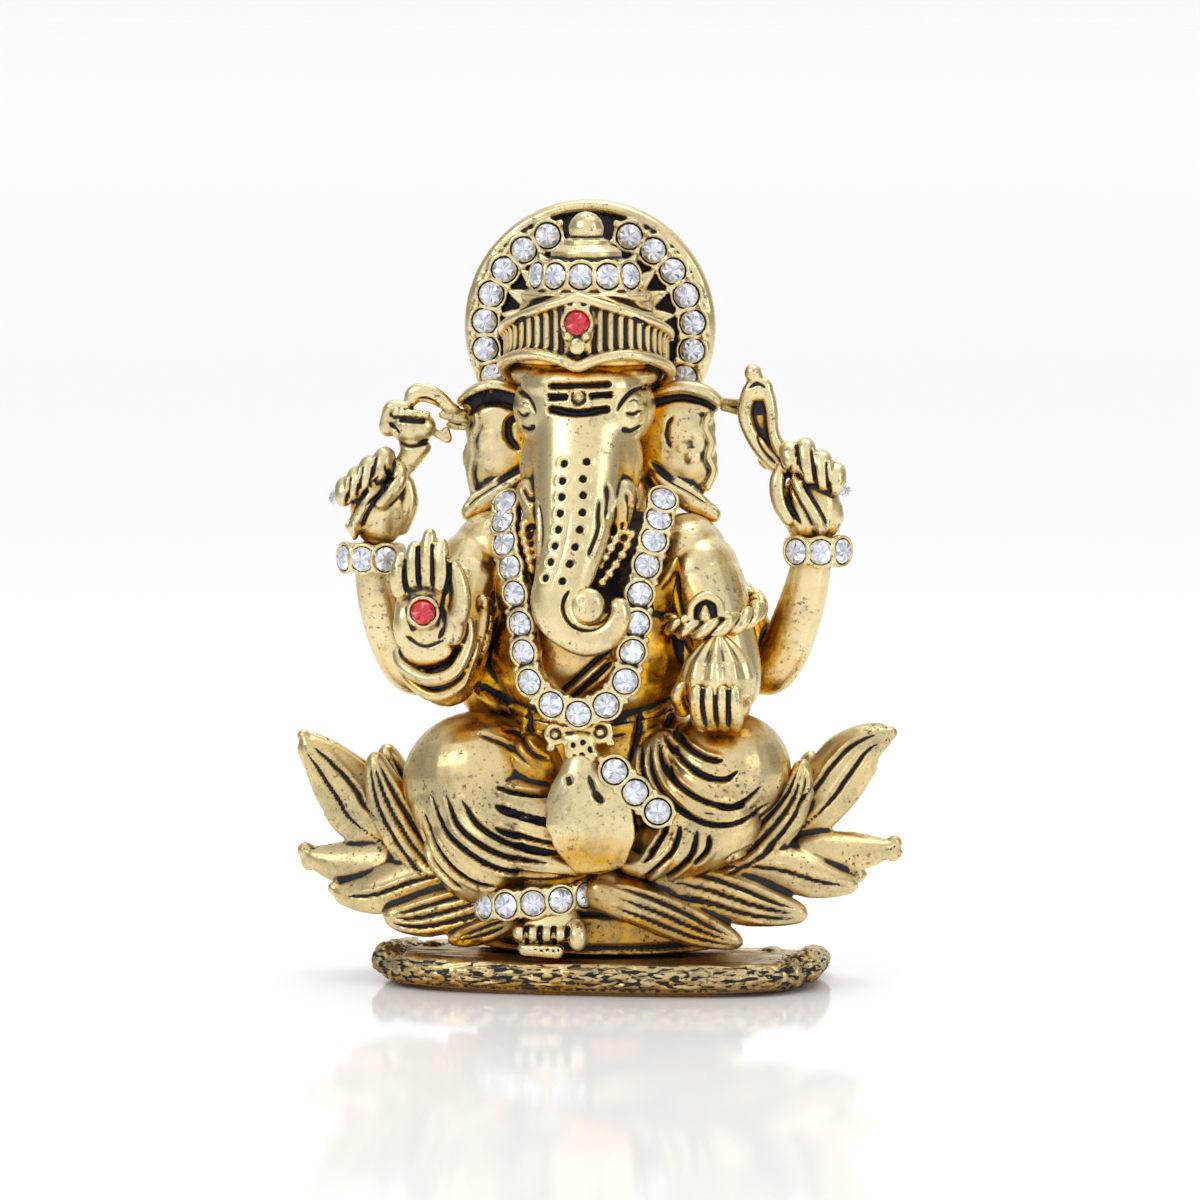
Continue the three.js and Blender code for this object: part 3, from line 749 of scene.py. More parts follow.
# %% [markdown]
# ## Cups
# Every stone sits in a cup: a floor, a thin wall, and bead prongs that are pressed over the glass.
# The wall stands a little off the stone, and the gap fills with patina, which draws a dark line
# round each stone.


# %% Cups and prongs
def disc(centre, facing, radius, near, far, sides=32):
    """A round plate from near to far along the way it faces."""
    facing = Vector(facing).normalized()
    bpy.ops.mesh.primitive_cylinder_add(vertices=sides, radius=radius, depth=far - near)
    item = bpy.context.object
    item.rotation_euler = facing.to_track_quat("Z", "Y").to_euler()
    item.location = Vector(centre) + facing * (near + far) / 2
    return item


def cup(centre, facing, radius=STONE_RADIUS, floor_at=-0.55, depth=0.75):
    """A floor of that depth below the girdle, and a wall of two rings."""
    facing = Vector(facing).normalized()
    turn = [math.degrees(v) for v in facing.to_track_quat("Z", "Y").to_euler()]
    wall = radius + 0.30
    return [
        disc(centre, facing, wall + 0.1, floor_at - depth, floor_at),
        hoop(Vector(centre) - facing * 0.40, wall, 0.22, turn),
        hoop(Vector(centre) - facing * 0.10, wall, 0.20, turn),
    ]


def prong(centre, radius=0.36):
    """A bead pressed over the edge of a stone, or any small ball."""
    bpy.ops.mesh.primitive_ico_sphere_add(subdivisions=2, radius=radius, location=centre)
    return bpy.context.object


def prongs_between(seats, spread=1.25, radius=0.36):
    """Two beads between each stone and the next."""
    beads = []
    for (a, face_a), (b, face_b) in zip(seats, seats[1:]):
        middle, facing = (a + b) / 2, (face_a + face_b).normalized()
        across = (b - a).normalized().cross(facing)
        beads += [prong(middle + across * spread * side - facing * 0.05, radius) for side in (-1, 1)]
    return beads


def seats(prefix):
    """The places and facings of the stones whose names start so, in the order of their names."""
    return [SEATS[name] for name in sorted(SEATS) if name.startswith(prefix)]


def cups_on(places, spread=1.25):
    """A whole strip of cups with its prongs."""
    return [piece for place in places for piece in cup(*place)] + prongs_between(places, spread)


# %% [markdown]
# ## Base slab
# The slab is sculpted as a slice of driftwood: a blunt oval, its rim cut by wavy cracks into long
# cells, with a line of grit at the foot and a broken end at each side. The cells come from a cell
# pattern that is stretched along the rim, which no modifier gives, so each rim point is moved in turn.


# %% Base slab
def blunt_oval(half_x, half_y, power, count=120):
    """Points round an oval. A power below 1 makes it blunter."""
    steps = np.arange(count) / count * 2 * math.pi
    circle = np.stack([np.cos(steps), np.sin(steps)], axis=1)
    return np.array([half_x, half_y]) * np.sign(circle) * np.abs(circle) ** power


def shell_faces(rows, sides):
    """The faces of a stack of rings, from the lowest ring to the highest, with both ends closed."""
    faces = [
        (r * sides + s, r * sides + (s + 1) % sides, (r + 1) * sides + (s + 1) % sides, (r + 1) * sides + s)
        for r in range(rows - 1) for s in range(sides)
    ]
    return [*faces, tuple(range(sides))[::-1], tuple(range((rows - 1) * sides, rows * sides))]


def slab_blank():
    """The slab before it is carved, with its edges rolled under and over."""
    high = box_mm("base_slab")[1]
    half_x, half_y, thick = high[0] - 0.7, high[1] - 0.7, high[2]
    layers = [
        (0.0, 0.90), (0.35, 0.93), (0.8, 0.985),
        (thick * 0.55, 1.0), (thick - 0.5, 0.985), (thick - 0.1, 0.95),
    ]
    rings = [[(x * s, y * s, z) for x, y in blunt_oval(half_x, half_y, 0.62)] for z, s in layers]
    return mesh_object("slab", [p for one in rings for p in one], shell_faces(len(rings), len(rings[0])))


broken_ends = [
    rod([(-21.2, -6.5, 2.3), (-21.4, 1, 2.5), (-20.6, 8.5, 2.4)], [1.7, 1.6, 1.8], face=(1, 0, 0)),
    rod([(21.5, -5.5, 2.2), (21.8, 2, 2.5), (20.9, 9.0, 2.4)], [1.7, 1.6, 1.8], face=(1, 0, 0)),
    rod([(-17.6, -1, 2.6), (-17.2, 8, 2.7)], [1.5, 1.2], face=(1, 0, 0)),
    rod([(17.4, 1, 2.6), (16.8, 9, 2.6)], [1.4, 1.2], face=(1, 0, 0)),
]
slab = fuse("driftwood_slab", [slab_blank(), *broken_ends], voxel=0.23, soften=2)


def bark(clay):
    """Moves the rim of the slab out in long cells, with dark cracks between them, and grit below."""
    for index, (x, y, z) in enumerate(clay.at):
        normal = clay.normal[index]
        side = 1 - abs(normal[2])
        on_end = abs(x) > 19.2
        if side < 0.25 and not on_end:
            continue
        run = math.atan2(y / 13, x / 23.3) * 17         # the way along the rim
        if on_end:
            cell = noise.voronoi(Vector((x * 1.1, y * 0.75, z * 1.15)))[0]
            lift = min((cell[1] - cell[0]) * 1.6, 0.5) * 0.55
        elif z > 0.75:
            wander = noise.noise(Vector((run * 0.35, z * 0.4, 3.0))) * 0.55
            cell = noise.voronoi(Vector((run * 0.42, z * 1.5 + wander, 7.0)))[0]
            lift = min((cell[1] - cell[0]) * 2.0, 0.5) * 0.8 * side
        else:
            cell = noise.voronoi(Vector((run * 1.55, z * 2.2, normal[1] * 2)))[0]
            lift = max(0.42 - cell[0], 0) * 0.9
        clay.at[index] += normal * (lift - 0.22)
    return clay


clay = bark(Clay(slab))
top = clay.normal[:, 2] > 0.8           # long shallow grain on the top face
grain = [noise.noise(Vector((x * 0.16, y * 1.5, 5.0))) for x, y, z in clay.at[top]]
clay.at[top, 2] += 0.22 * np.array(grain)
back = np.clip(clay.at[:, 1] + 3.0, 0, None)            # the top falls away a little towards the back
clay.at[:, 2] *= 1 - 0.028 * back
clay.at[:, 2] = np.clip(clay.at[:, 2], 0.0, None)
# painted amber shade on the top of the slab, under the figure
finish_casting(clay.done(), "base_slab", material=GOLD_BARK, fine=0.13, warm=lambda x, y, z: 0.5 * (z > 3.0))

# %% [markdown]
# ## Lotus seat
# The seat is a waisted core with open petals round it. Each petal is a bent, cupped bar that runs
# from a narrow tip to a root below the legs, with lengthwise grooves cut in its face. The petals
# that stand up have a small curl at the tip, the lower ones lie flat, and the lowest are ribbed.


# %% Petals
def petal(path, half, grooves=2, thick=1.25, facing=(0, -1, 0.35), tip=0.55):
    """One petal from its tip to its root. Also returns the lines along which it is grooved."""
    wide = [half * share for share in (tip * 0.55, 0.62, 0.92, 1.0, 0.95, 0.8)]
    thickness = [thick * 0.75, thick, thick, thick * 1.1]
    body = rod(path, wide, thickness, facing, section=lambda u: 1.05 - 0.35 * u * u)
    line = spline(path, 40)
    along = np.gradient(line, axis=0)
    across = np.cross(along, np.array(facing, float))
    across /= np.linalg.norm(across, axis=1)[:, None]
    lines = []
    for g in range(grooves):
        share = (g + 1) / (grooves + 1) * 2 - 1
        spread = np.interp(np.linspace(0, 1, 40), np.linspace(0, 1, 6), wide)
        shifted = line + across * (spread * share)[:, None]
        lines.append(shifted[2:36:4])
    return body, lines


RIGHT_PETALS = [                        # half width, number of grooves, and the line from tip to root
    (3.4, 2,
     [(-30.9, -0.8, 24.5), (-28.4, -1.0, 22.1), (-25.9, -1.4, 19.2), (-23.8, -1.7, 16.6), (-15, -2, 11.5)]),
    (2.7, 3,
     [(-22.9, -3.5, 23.6), (-21.9, -4, 20.4), (-20.2, -4.4, 17.0), (-16.9, -4.8, 12.8), (-11, -5, 10.5)]),
    (2.7, 0,
     [(-30.4, -1.5, 12.6), (-26.6, -2.4, 12.0), (-20, -3.5, 12.2), (-13, -4, 12)]),
    (2.8, 1,
     [(-27.0, -4, 8.9), (-22.6, -5, 9.2), (-17.5, -5.6, 11.0), (-10, -6, 12.5)]),
    (2.6, 3,
     [(-21.4, -6.5, 7.0), (-17.8, -7.2, 7.2), (-13, -7.8, 8.5), (-7, -8, 10.5)]),
    (1.5, 2,
     [(-14.4, -8.3, 4.8), (-11, -8.8, 6.0), (-7, -9, 7.6)]),
]
LEFT_PETALS = [
    (3.3, 2,
     [(29.9, -0.5, 26.1), (27.1, -0.9, 24.7), (25.0, -1.2, 22.4), (22.2, -1.7, 18.8), (14, -2, 11.5)]),
    (2.6, 3,
     [(21.4, -3.5, 23.6), (20.6, -4, 20.0), (18.4, -4.4, 16.8), (15.1, -4.8, 14.0), (9, -5, 11.5)]),
    (2.3, 0,
     [(30.6, -1.5, 14.3), (27.4, -2.4, 14.1), (22, -3.5, 13.8), (13, -4, 12.5)]),
    (2.4, 1,
     [(27.0, -4, 10.7), (23.4, -5, 11.4), (18.2, -5.6, 12.8), (10, -6, 13)]),
    (2.8, 3,
     [(22.2, -6.5, 8.0), (17.6, -7.2, 9.0), (11.8, -7.8, 10.9), (6, -8, 12)]),
    (2.5, 3,
     [(15.8, -8.5, 5.2), (11.6, -9.2, 6.8), (6.4, -9.6, 9.0), (0, -9.6, 11)]),
]


def mirrored(path, depth_scale=0.92):
    """The same petal at the back of the lotus."""
    return [(x, -y * depth_scale + 0.2, z) for x, y, z in path]


# %% Lotus seat
parts = [
    lump((0, 0, 11.0), (15.2, 9.4, 5.6)),
    disc((0, 0, 0), (0, 0, 1), 12.6, 3.75, 7.5),
    lump((0, 0, 6.6), (13.0, 8.2, 3.6)),
]
parts[1].scale = (1, 0.66, 1)
front_lines, back_lines = [], []
for petals in (RIGHT_PETALS, LEFT_PETALS):
    for number, (half, grooves, path) in enumerate(petals):
        body, lines = petal(path, half, grooves)
        parts.append(body)
        front_lines += lines
        if number in (0, 1, 3, 5):
            body, lines = petal(mirrored(path), half, grooves, facing=(0, 1, 0.35))
            parts.append(body)
            back_lines += lines
for x in (-7.0, 0.0, 7.0):              # three more petals close the back
    path = [(x * 1.25, 11.6, 5.6), (x, 10.4, 8.5), (x * 0.8, 8.0, 11.8)]
    body, lines = petal(path, 3.3, 2, facing=(0, 1, 0.25))
    parts.append(body)
    back_lines += lines
for x, y, z, size in (
    (-30.6, -0.8, 24.8, 0.7), (29.9, -0.5, 26.0, 0.7), (-30.3, -1.5, 13.0, 0.9), (-29.9, -1.5, 11.8, 0.9),
    (30.4, -1.5, 14.9, 0.8), (30.3, -1.5, 13.6, 0.7), (30.9, -1.5, 13.9, 0.4), (-26.9, -4, 9.5, 0.7),
):
    parts.append(lump((x, y, z), (size, size, size)))
lotus = fuse("lotus_petals", parts, voxel=0.25, soften=3)
clay = Clay(lotus)
for lines, view in ((front_lines, "front"), (back_lines, "back")):
    for line in lines:
        clay.stroke([(x, z) for x, y, z in line], 0.85, -0.25, view, taper=(0.3, 0.3), facing=0.15)
        clay.stroke([(x, z) for x, y, z in line], 0.38, 0.75, view, taper=(0.35, 0.35), facing=0.15)
for x, z in ((-29.4, 13.9), (-29.2, 12.8), (29.4, 14.5), (29.2, 13.6)):     # the rough tips of the flat ones
    clay.press((x, -2.2, z - 0.3), 0.45, 0.35)
clay.stroke([(-12.5, 4.9), (-6, 4.5), (2, 4.4), (13, 4.6)], 0.45, 0.5, "front", taper=(0.05, 0.05))


def below_the_legs(x, y, z):
    """Painted amber shade towards the middle, where the legs overhang the petals, and on the waist."""
    return 0.5 * np.clip((23 - np.abs(x)) / 8, 0, 1) + 0.4 * (z < 8) * (np.abs(x) < 13)


finish_casting(clay.done(), "lotus_seat", material=GOLD_DEEP, fine=0.14, warm=below_the_legs)


# %% [markdown]
# ## Torso
# A heavy seated body: chest, round belly, hips, sloped shoulders and a short neck, with a thin sacred
# thread that runs down across the belly. Lumps give the masses, and strokes give the thread, the
# navel fold and the edge of the cloth.

# %% Torso
torso = fuse("torso_body", [
    lump((-1.0, -0.4, 41.2), (13.0, 6.9, 7.2)), lump((-0.7, -2.2, 34.0), (11.0, 7.9, 8.4)),
    lump((-0.7, -0.6, 22.5), (13.0, 7.6, 7.4)), lump((-10.4, 0.2, 43.0), (4.2, 4.8, 4.2), (0, 20, 0)),
    lump((8.6, 0.2, 43.2), (4.4, 4.8, 4.2)), lump((-1.4, 0.6, 49.5), (6.4, 4.3, 4.6)),
    lump((-6.0, -3.4, 41.0), (5.4, 4.2, 4.6)), lump((4.4, -3.4, 41.0), (5.4, 4.2, 4.6)),
    rod([(-7.8, 0, 17.2), (6.6, 0, 17.2)], [4.5, 5.2, 4.5], [6.2, 6.6, 6.2]),
    lump((-10.8, -1.5, 31.0), (3.6, 4.4, 4.6)), lump((9.8, -1.2, 34.4), (3.4, 4.2, 5.8)),
], voxel=0.26, soften=4)
clay = Clay(torso)
clay.stroke([(-2.6, 29.8), (0.4, 32.5), (2.4, 34.5)], 0.6, -0.6, taper=(0.1, 0.1))
for shift in (-0.7, 0.8):
    clay.stroke([(-3.0, 29.4 + shift), (0.4, 32.5 + shift), (2.6, 34.6 + shift)], 0.4, 0.6, taper=(0.1, 0.2))
clay.stroke([(10.2, 48.6), (9.2, 46.0), (8.0, 42.8), (6.9, 41.0)], 0.55, -0.6, taper=(0.1, 0.2))
clay.stroke([(9.4, 48.4), (8.4, 45.6), (7.2, 42.8)], 0.3, 0.6, taper=(0.1, 0.2))
for path, width, depth in (             # the belt and the groove above it
    ([(-12.2, 30.2), (-7.5, 27.6), (-0.8, 26.6), (5.6, 27.4), (10.6, 29.6)], 0.8, -0.6),
    ([(-12.2, 31.2), (-7.5, 28.7), (-0.8, 27.7), (5.6, 28.5), (10.6, 30.6)], 0.55, 0.8),
):
    clay.stroke(path, width, depth, taper=(0.1, 0.1))
for x in (-9.5, -6.8, 5.2, 8.0):        # cloth creases below the belt
    clay.stroke([(x, 29), (x * 0.86, 24), (x * 0.75, 19)], 0.55, 0.6)
    clay.stroke([(x, 29), (x * 0.9, 24), (x * 0.85, 18)], 0.6, 0.5, "back")
clay.stroke([(-11.4, 46.6), (-10.6, 42), (-10.2, 38), (-10.8, 33)], 0.55, 0.7, taper=(0.3, 0.2))
clay.stroke([(9.8, 46.4), (9.2, 42), (8.6, 38), (9.2, 33)], 0.55, 0.7, taper=(0.3, 0.2))
clay.stroke([(-1.0, 46), (-0.8, 40), (-0.8, 34)], 0.9, 0.5, "back")      # the line of the spine
clay.stroke([(-12, 30.5), (-6, 28), (-0.8, 27.2), (5, 28), (10.6, 30)], 0.7, 0.7, "back", (0.1, 0.1))


def chest_ground(x, y, z):
    """1 on the chest between the necklace and the trunk, which is drawn dark, else 0."""
    return 1.0 * (y < -1.5) * (z > 38.5) * (np.abs(x + 0.8) < 7.2)


def flanks(x, y, z):
    """Painted amber shade at the sides of the belly and below the belt, in front."""
    return 0.7 * (y < 0) * ((np.abs(x + 0.7) > 5.5) * (z < 44) + (z < 29.5))


finish_casting(clay.done(), "torso", dark=chest_ground, warm=flanks)

# %% [markdown]
# ## Crossed legs
# The draped legs are fat folded forms. The knee is a smooth dome, and below it the cloth is drawn
# tight in long folds that sweep down to the ankle. Each fold is a wide deep groove with a rounded
# ridge on both sides, so the ridges catch the cloth of the polisher and the grooves keep the patina.


# %% Fold helper
def folds(clay, lines, width=0.72, depth=1.0, swell=0.35, view="front", taper=(0.22, 0.22)):
    """Deep sweeping grooves, each with raised lips."""
    for line in lines:
        clay.stroke(line, width * 2.2, -swell, view, taper)
    for line in lines:
        clay.stroke(line, width, depth + swell, view, taper)


# %% The figure's right leg, in front
right_leg = fuse("right_leg_drapery", [
    lump((-11.8, -3.9, 21.0), (8.0, 6.6, 7.0), (0, -8, 0)),
    lump((-11.4, -6.0, 18.0), (7.4, 4.8, 6.2), (0, 25, 0)),
    rod([(-14.6, -5.6, 18.4), (-10.4, -8.0, 14.4), (-6.4, -8.4, 11.6)], [5.4, 6.0, 5.0], [4.4, 4.2, 3.8]),
    rod([(-8.4, -6.0, 24.2), (-4.8, -7.4, 22.8), (-2.4, -8.0, 22.0)], [3.4, 2.8, 1.2], [3.0, 2.4, 1.2]),
    rod([(-9.6, -7.2, 20.0), (-5.2, -8.8, 19.0), (-1.9, -9.4, 18.6)], [3.2, 2.3, 1.0], [3.0, 2.3, 1.2]),
    rod([(-9.0, -7.8, 17.0), (-5.0, -9.4, 16.0), (-0.9, -10.0, 15.4)], [2.8, 1.9, 0.9], [2.8, 2.0, 1.2]),
    rod([(-8.6, -8.2, 14.4), (-4.6, -9.5, 13.4), (-0.2, -9.8, 12.8)], [2.6, 1.7, 0.9], [2.6, 1.9, 1.2]),
], voxel=0.2, soften=4)
clay = Clay(right_leg)
folds(clay, [
    [(-16.0, 20.2), (-14.6, 16.9), (-12.3, 14.8), (-8.9, 12.9), (-5.5, 12.1), (-1.9, 12.0)],
    [(-14.4, 20.2), (-13.1, 17.3), (-10.6, 15.4), (-7.2, 13.9), (-3.4, 13.4)],
    [(-16.9, 18.4), (-15.6, 15.2), (-13.5, 12.7), (-11.0, 11.2), (-8.9, 10.8)],
    [(-17.2, 16.4), (-15.8, 13.3), (-13.9, 11.4), (-12.7, 10.5)],
    [(-12.8, 19.8), (-11.0, 17.5), (-8.4, 15.9), (-5.8, 14.9), (-2.6, 14.4)],
    [(-9.2, 20.9), (-7.2, 20.6), (-4.7, 20.4), (-2.8, 20.6)],
    [(-9.4, 19.2), (-7.4, 18.4), (-4.7, 17.7), (-1.9, 17.2)],
    [(-9.4, 17.2), (-7.6, 16.5), (-4.7, 15.6), (-1.6, 15.1)],
], width=0.42, depth=0.85, swell=0.3, taper=(0.3, 0.2))
clay.stroke([(-9.0, 26.6), (-7.2, 26.1), (-5.5, 24.4), (-3.8, 23.8)], 0.4, 0.5)
clay.stroke([(-11.4, 26.2), (-8.2, 25.0), (-5.6, 22.9)], 0.35, 0.3)
folds(clay, [[(-18, 24), (-14, 19), (-9, 16)], [(-19, 20.5), (-15, 16.5), (-10, 14)]], view="back")


def lap(x, y, z):
    """Painted amber shade on top of the knee and in the lap, beside the apron."""
    return 0.45 * np.clip((z - 21) / 4, 0, 1) + 0.7 * np.clip((x + 0.6 * (z - 20) + 8) / 4, 0, 1) * (z > 19.5)


finish_casting(clay.done(), "right_leg", material=GOLD_DEEP, fine=0.11, warm=lap)

# %% The figure's left leg, folded behind
left_leg = fuse("left_leg_drapery", [
    lump((13.2, -3.8, 22.4), (6.9, 6.2, 6.0)), lump((10.6, -6.2, 19.4), (6.4, 4.4, 4.6), (0, -25, 0)),
    rod([(15.6, -5.0, 20.0), (11.2, -7.4, 15.9), (4.4, -7.6, 13.6)], [4.4, 3.9, 2.9], [4.0, 3.6, 3.0]),
    rod([(8.6, -5.6, 26.4), (6.2, -7.4, 22.4), (8.6, -8.8, 18.4), (13.6, -8.6, 17.2)], [1.9, 2.2, 2.2, 1.6]),
    rod([(5.4, -8.4, 15.4), (9.0, -9.2, 14.4), (11.4, -8.6, 16.2)], [1.5, 1.8, 1.2], [2.0, 2.0, 1.4]),
    rod([(3.2, -9.0, 13.6), (7.0, -9.6, 13.4), (9.6, -9.0, 16.0)], [1.2, 1.5, 1.0], [1.8, 2.0, 1.4]),
], voxel=0.2, soften=4)
clay = Clay(left_leg)
folds(clay, [
    [(7.6, 26.6), (9.3, 24.1), (11.6, 22.6), (14.0, 22.0), (15.5, 23.0)],
    [(7.0, 26.2), (8.2, 22.8), (10.6, 20.7), (13.6, 19.4), (15.9, 19.6), (17.8, 21.4)],
    [(6.2, 25.6), (7.0, 22.4), (9.1, 19.6), (11.9, 17.9), (15.2, 17.6), (18.4, 19.4)],
    [(8.4, 26.8), (10.2, 25.2), (12.3, 24.2), (14.0, 24.0)],
    [(5.2, 25.4), (5.6, 22.6), (6.6, 20.4)],
    [(9.7, 17.5), (8.9, 14.9), (6.7, 12.4), (5.0, 11.1)],
    [(11.4, 17.2), (10.9, 14.5), (8.9, 12.4), (6.7, 11.1)],
    [(12.7, 16.6), (12.5, 14.9), (11.0, 13.3)],
    [(8.5, 17.9), (7.2, 15.4), (5.9, 13.7)],
    [(19.6, 17.2), (17.2, 15.2), (14.0, 13.7)],
], width=0.42, depth=0.8, swell=0.3)
folds(clay, [[(18, 24), (14, 19), (9, 16)], [(18, 20.5), (15, 16.5), (10, 14)]], view="back")
# painted amber shade on the top of the leg and low down
finish_casting(clay.done(), "left_leg", material=GOLD_DEEP, fine=0.11,
               warm=lambda x, y, z: 0.8 * np.clip((z - 24.2) / 2, 0, 1) + 0.4 * (z < 14))

# %% [markdown]
# ## Foot, apron and clasp
# The right foot shows below the anklet, with four small toes in a row and a big toe that hangs lower.
# The apron is a tongue of cloth, smooth as a spoon. The clasp is two small rosettes over a pitted knob.

# %% Foot
toes = [rod([(x, -9.8, 6.9), (x, -11.9, 6.4), (x, -12.2, 5.6)], [0.72, 0.78, 0.6], face=(1, 0, 0))
        for x in (-6.5, -5.1, -3.7, -2.3)]
foot = fuse("right_foot_toes", [
    rod([(-4.6, -8.2, 8.8), (-4.0, -10.2, 7.0), (-3.6, -11.2, 5.2)], [3.0, 3.5, 3.9], [2.2, 1.9, 1.3]),
    *toes, rod([(-1.0, -10.2, 7.2), (-0.6, -12.0, 6.3), (-0.5, -12.3, 4.7)], [1.1, 1.1, 0.8], face=(1, 0, 0)),
    rod([(-6.8, -11.2, 4.7), (-2.0, -11.6, 4.5)], [0.7, 0.8]),
], voxel=0.14, soften=2)
clay = Clay(foot)
for x in (-5.8, -4.4, -3.0, -1.55):
    clay.stroke([(x, 7.2), (x, 5.2)], 0.28, 0.6, taper=(0.05, 0.2))
for x in np.arange(-6.8, -0.2, 0.62):
    clay.press((x, -12.2, 4.7 + 0.2 * math.sin(x * 5)), 0.24, 0.4)
finish_casting(clay.done(), "right_foot")

# %% Apron
apron = fuse("sash_tongue", [
    rod([(-0.4, -11.2, 24.8), (-0.2, -12.2, 21.6), (0.9, -12.7, 17.6), (1.7, -12.2, 12.6)],
        [1.5, 2.1, 3.9, 4.6, 4.2, 2.4], [0.9, 1.0, 1.1, 1.1, 0.8, 0.5], section=lambda u: 1.1 - 0.35 * u * u),
    rod([(-0.4, -10.6, 25.0), (0.6, -11.4, 19.6), (1.6, -11.2, 13.2)], [1.4, 3.0, 3.6, 1.8], [0.8, 0.9, 0.8]),
], voxel=0.16, soften=5)
clay = Clay(apron)
clay.stroke([(0.6, 22.9), (1.4, 21.0), (2.4, 19.8)], 0.5, 0.4)
clay.stroke([(-1.6, 22.6), (-1.2, 21.6)], 0.6, 0.3)
clay.press((1.5, -13.2, 20.3), 0.9, 0.35).press((-1.4, -13.0, 19.2), 0.7, 0.35)
# painted amber shade on the lower end of the apron
finish_casting(clay.done(), "sash_apron", warm=lambda x, y, z: 0.7 * np.clip((18.5 - z) / 4, 0, 1))


# %% Clasp
def rosette(x, z, radius, tube, bead):
    """A ring with a domed middle and a bead on it."""
    dome = (radius - 0.05, 0.5, radius - 0.05)
    return [hoop((x, -11.4, z), radius, tube), lump((x, -11.2, z), dome), prong((x, -11.9, z), bead)]


clasp = fuse("belt_clasp_rosettes", [
    *rosette(-2.9, 26.6, 0.85, 0.36, 0.4), *rosette(1.7, 26.9, 0.95, 0.38, 0.45),
    lump((-0.4, -11.5, 25.2), (1.7, 0.9, 1.9)), lump((-0.4, -11.2, 27.2), (2.6, 0.7, 0.6)),
    lump((0.5, -11.6, 24.4), (1.2, 0.8, 1.0)), lump((-1.4, -11.4, 26.0), (1.0, 0.7, 0.8)),
    prong((-3.4, -11.3, 25.2), 0.5), prong((2.7, -11.3, 25.8), 0.5),
], voxel=0.12, soften=2)
clay = Clay(clasp)
for x, z, size, depth in (
    (-1.1, 25.6, 0.4, 0.5), (0.0, 25.9, 0.4, 0.45), (-0.1, 24.6, 0.35, 0.5), (0.8, 25.2, 0.4, 0.5),
    (0.3, 23.9, 0.5, 0.6), (-0.9, 24.4, 0.3, 0.5), (1.6, 26.2, 0.3, 0.4), (2.2, 27.4, 0.3, 0.4),
):
    clay.press((x, -12.3, z), size, depth)
finish_casting(clay.done(), "belt_clasp")

# %% [markdown]
# ## Strips of cups: sash and anklet
# Both are cup chains cast in one with a thin backing band. The sash runs down to the side from the
# clasp with three stones; the anklet wraps the shin with six.


# %% Sash
def strip_stones(prefix, places, radius=STONE_RADIUS):
    """Sets stones that have no CAD node of their own."""
    for number, (centre, facing) in enumerate(places):
        set_stone(f"{prefix}_{number + 1:02d}_glass", centre, facing, CLEAR_GLASS, radius=radius)


sash_seats = [
    (Vector((x, -13.0, z)), Vector((turn, -1, tilt)))
    for x, z, turn, tilt in ((3.3, 23.1, 0.05, 0.1), (5.4, 21.0, 0.1, 0.05), (7.7, 19.1, 0.15, 0.0))
]
sash_line = [tuple(place + Vector((0, 1.0, 0))) for place, _ in sash_seats]
sash = fuse("sash_cups", [
    rod([(2.5, -12.2, 23.9), *sash_line, (8.5, -12.1, 18.2)], [1.3, 1.5, 1.5, 1.4], [0.55]),
    *cups_on(sash_seats, 1.3),
    prong((1.9, -12.9, 24.3)), prong((8.9, -12.7, 17.9)), prong((9.3, -12.6, 18.9), 0.3),
], voxel=0.14, soften=2)
finish_casting(Clay(sash).done(), "sash_setting")
strip_stones("stone_sash", sash_seats)

# %% Anklet
anklet_seats = seats("stone_anklet")
first, last = anklet_seats[0][0], anklet_seats[-1][0]
band_line = [tuple(place - facing * 0.9) for place, facing in anklet_seats]
band = rod(
    [tuple(first + Vector((-0.4, 1.6, -0.2)) - anklet_seats[0][1] * 0.9), *band_line,
     tuple(last + Vector((1.4, 0.6, 0.2)) - anklet_seats[-1][1] * 0.6)],
    [0.45, 0.45], [1.35, 1.45, 1.35], face=(0, 0, 1),
)
anklet = fuse("anklet_cups", [
    band, *[piece for place, facing in anklet_seats for piece in cup(place, facing, 1.2, -0.5, 0.6)],
    *prongs_between(anklet_seats, 1.2, 0.32),
], voxel=0.15, soften=2)
clay = Clay(anklet)
clay.at[:, 1] = np.maximum(clay.at[:, 1], -13.0)
finish_casting(clay.done(), "anklet")


# %% [markdown]
# ## Head and trunk
# The forehead and cheeks are one broad mass that narrows without a break into the trunk. The trunk
# curls to the figure's left round a sweet. Three slots are cut in the forehead, the middle one parted
# by a small ring. The trunk carries two rows of round pits and a line down its middle. Almond eyes
# lie at the sides of the face under long brows, and two rows of beads hang beside the trunk.

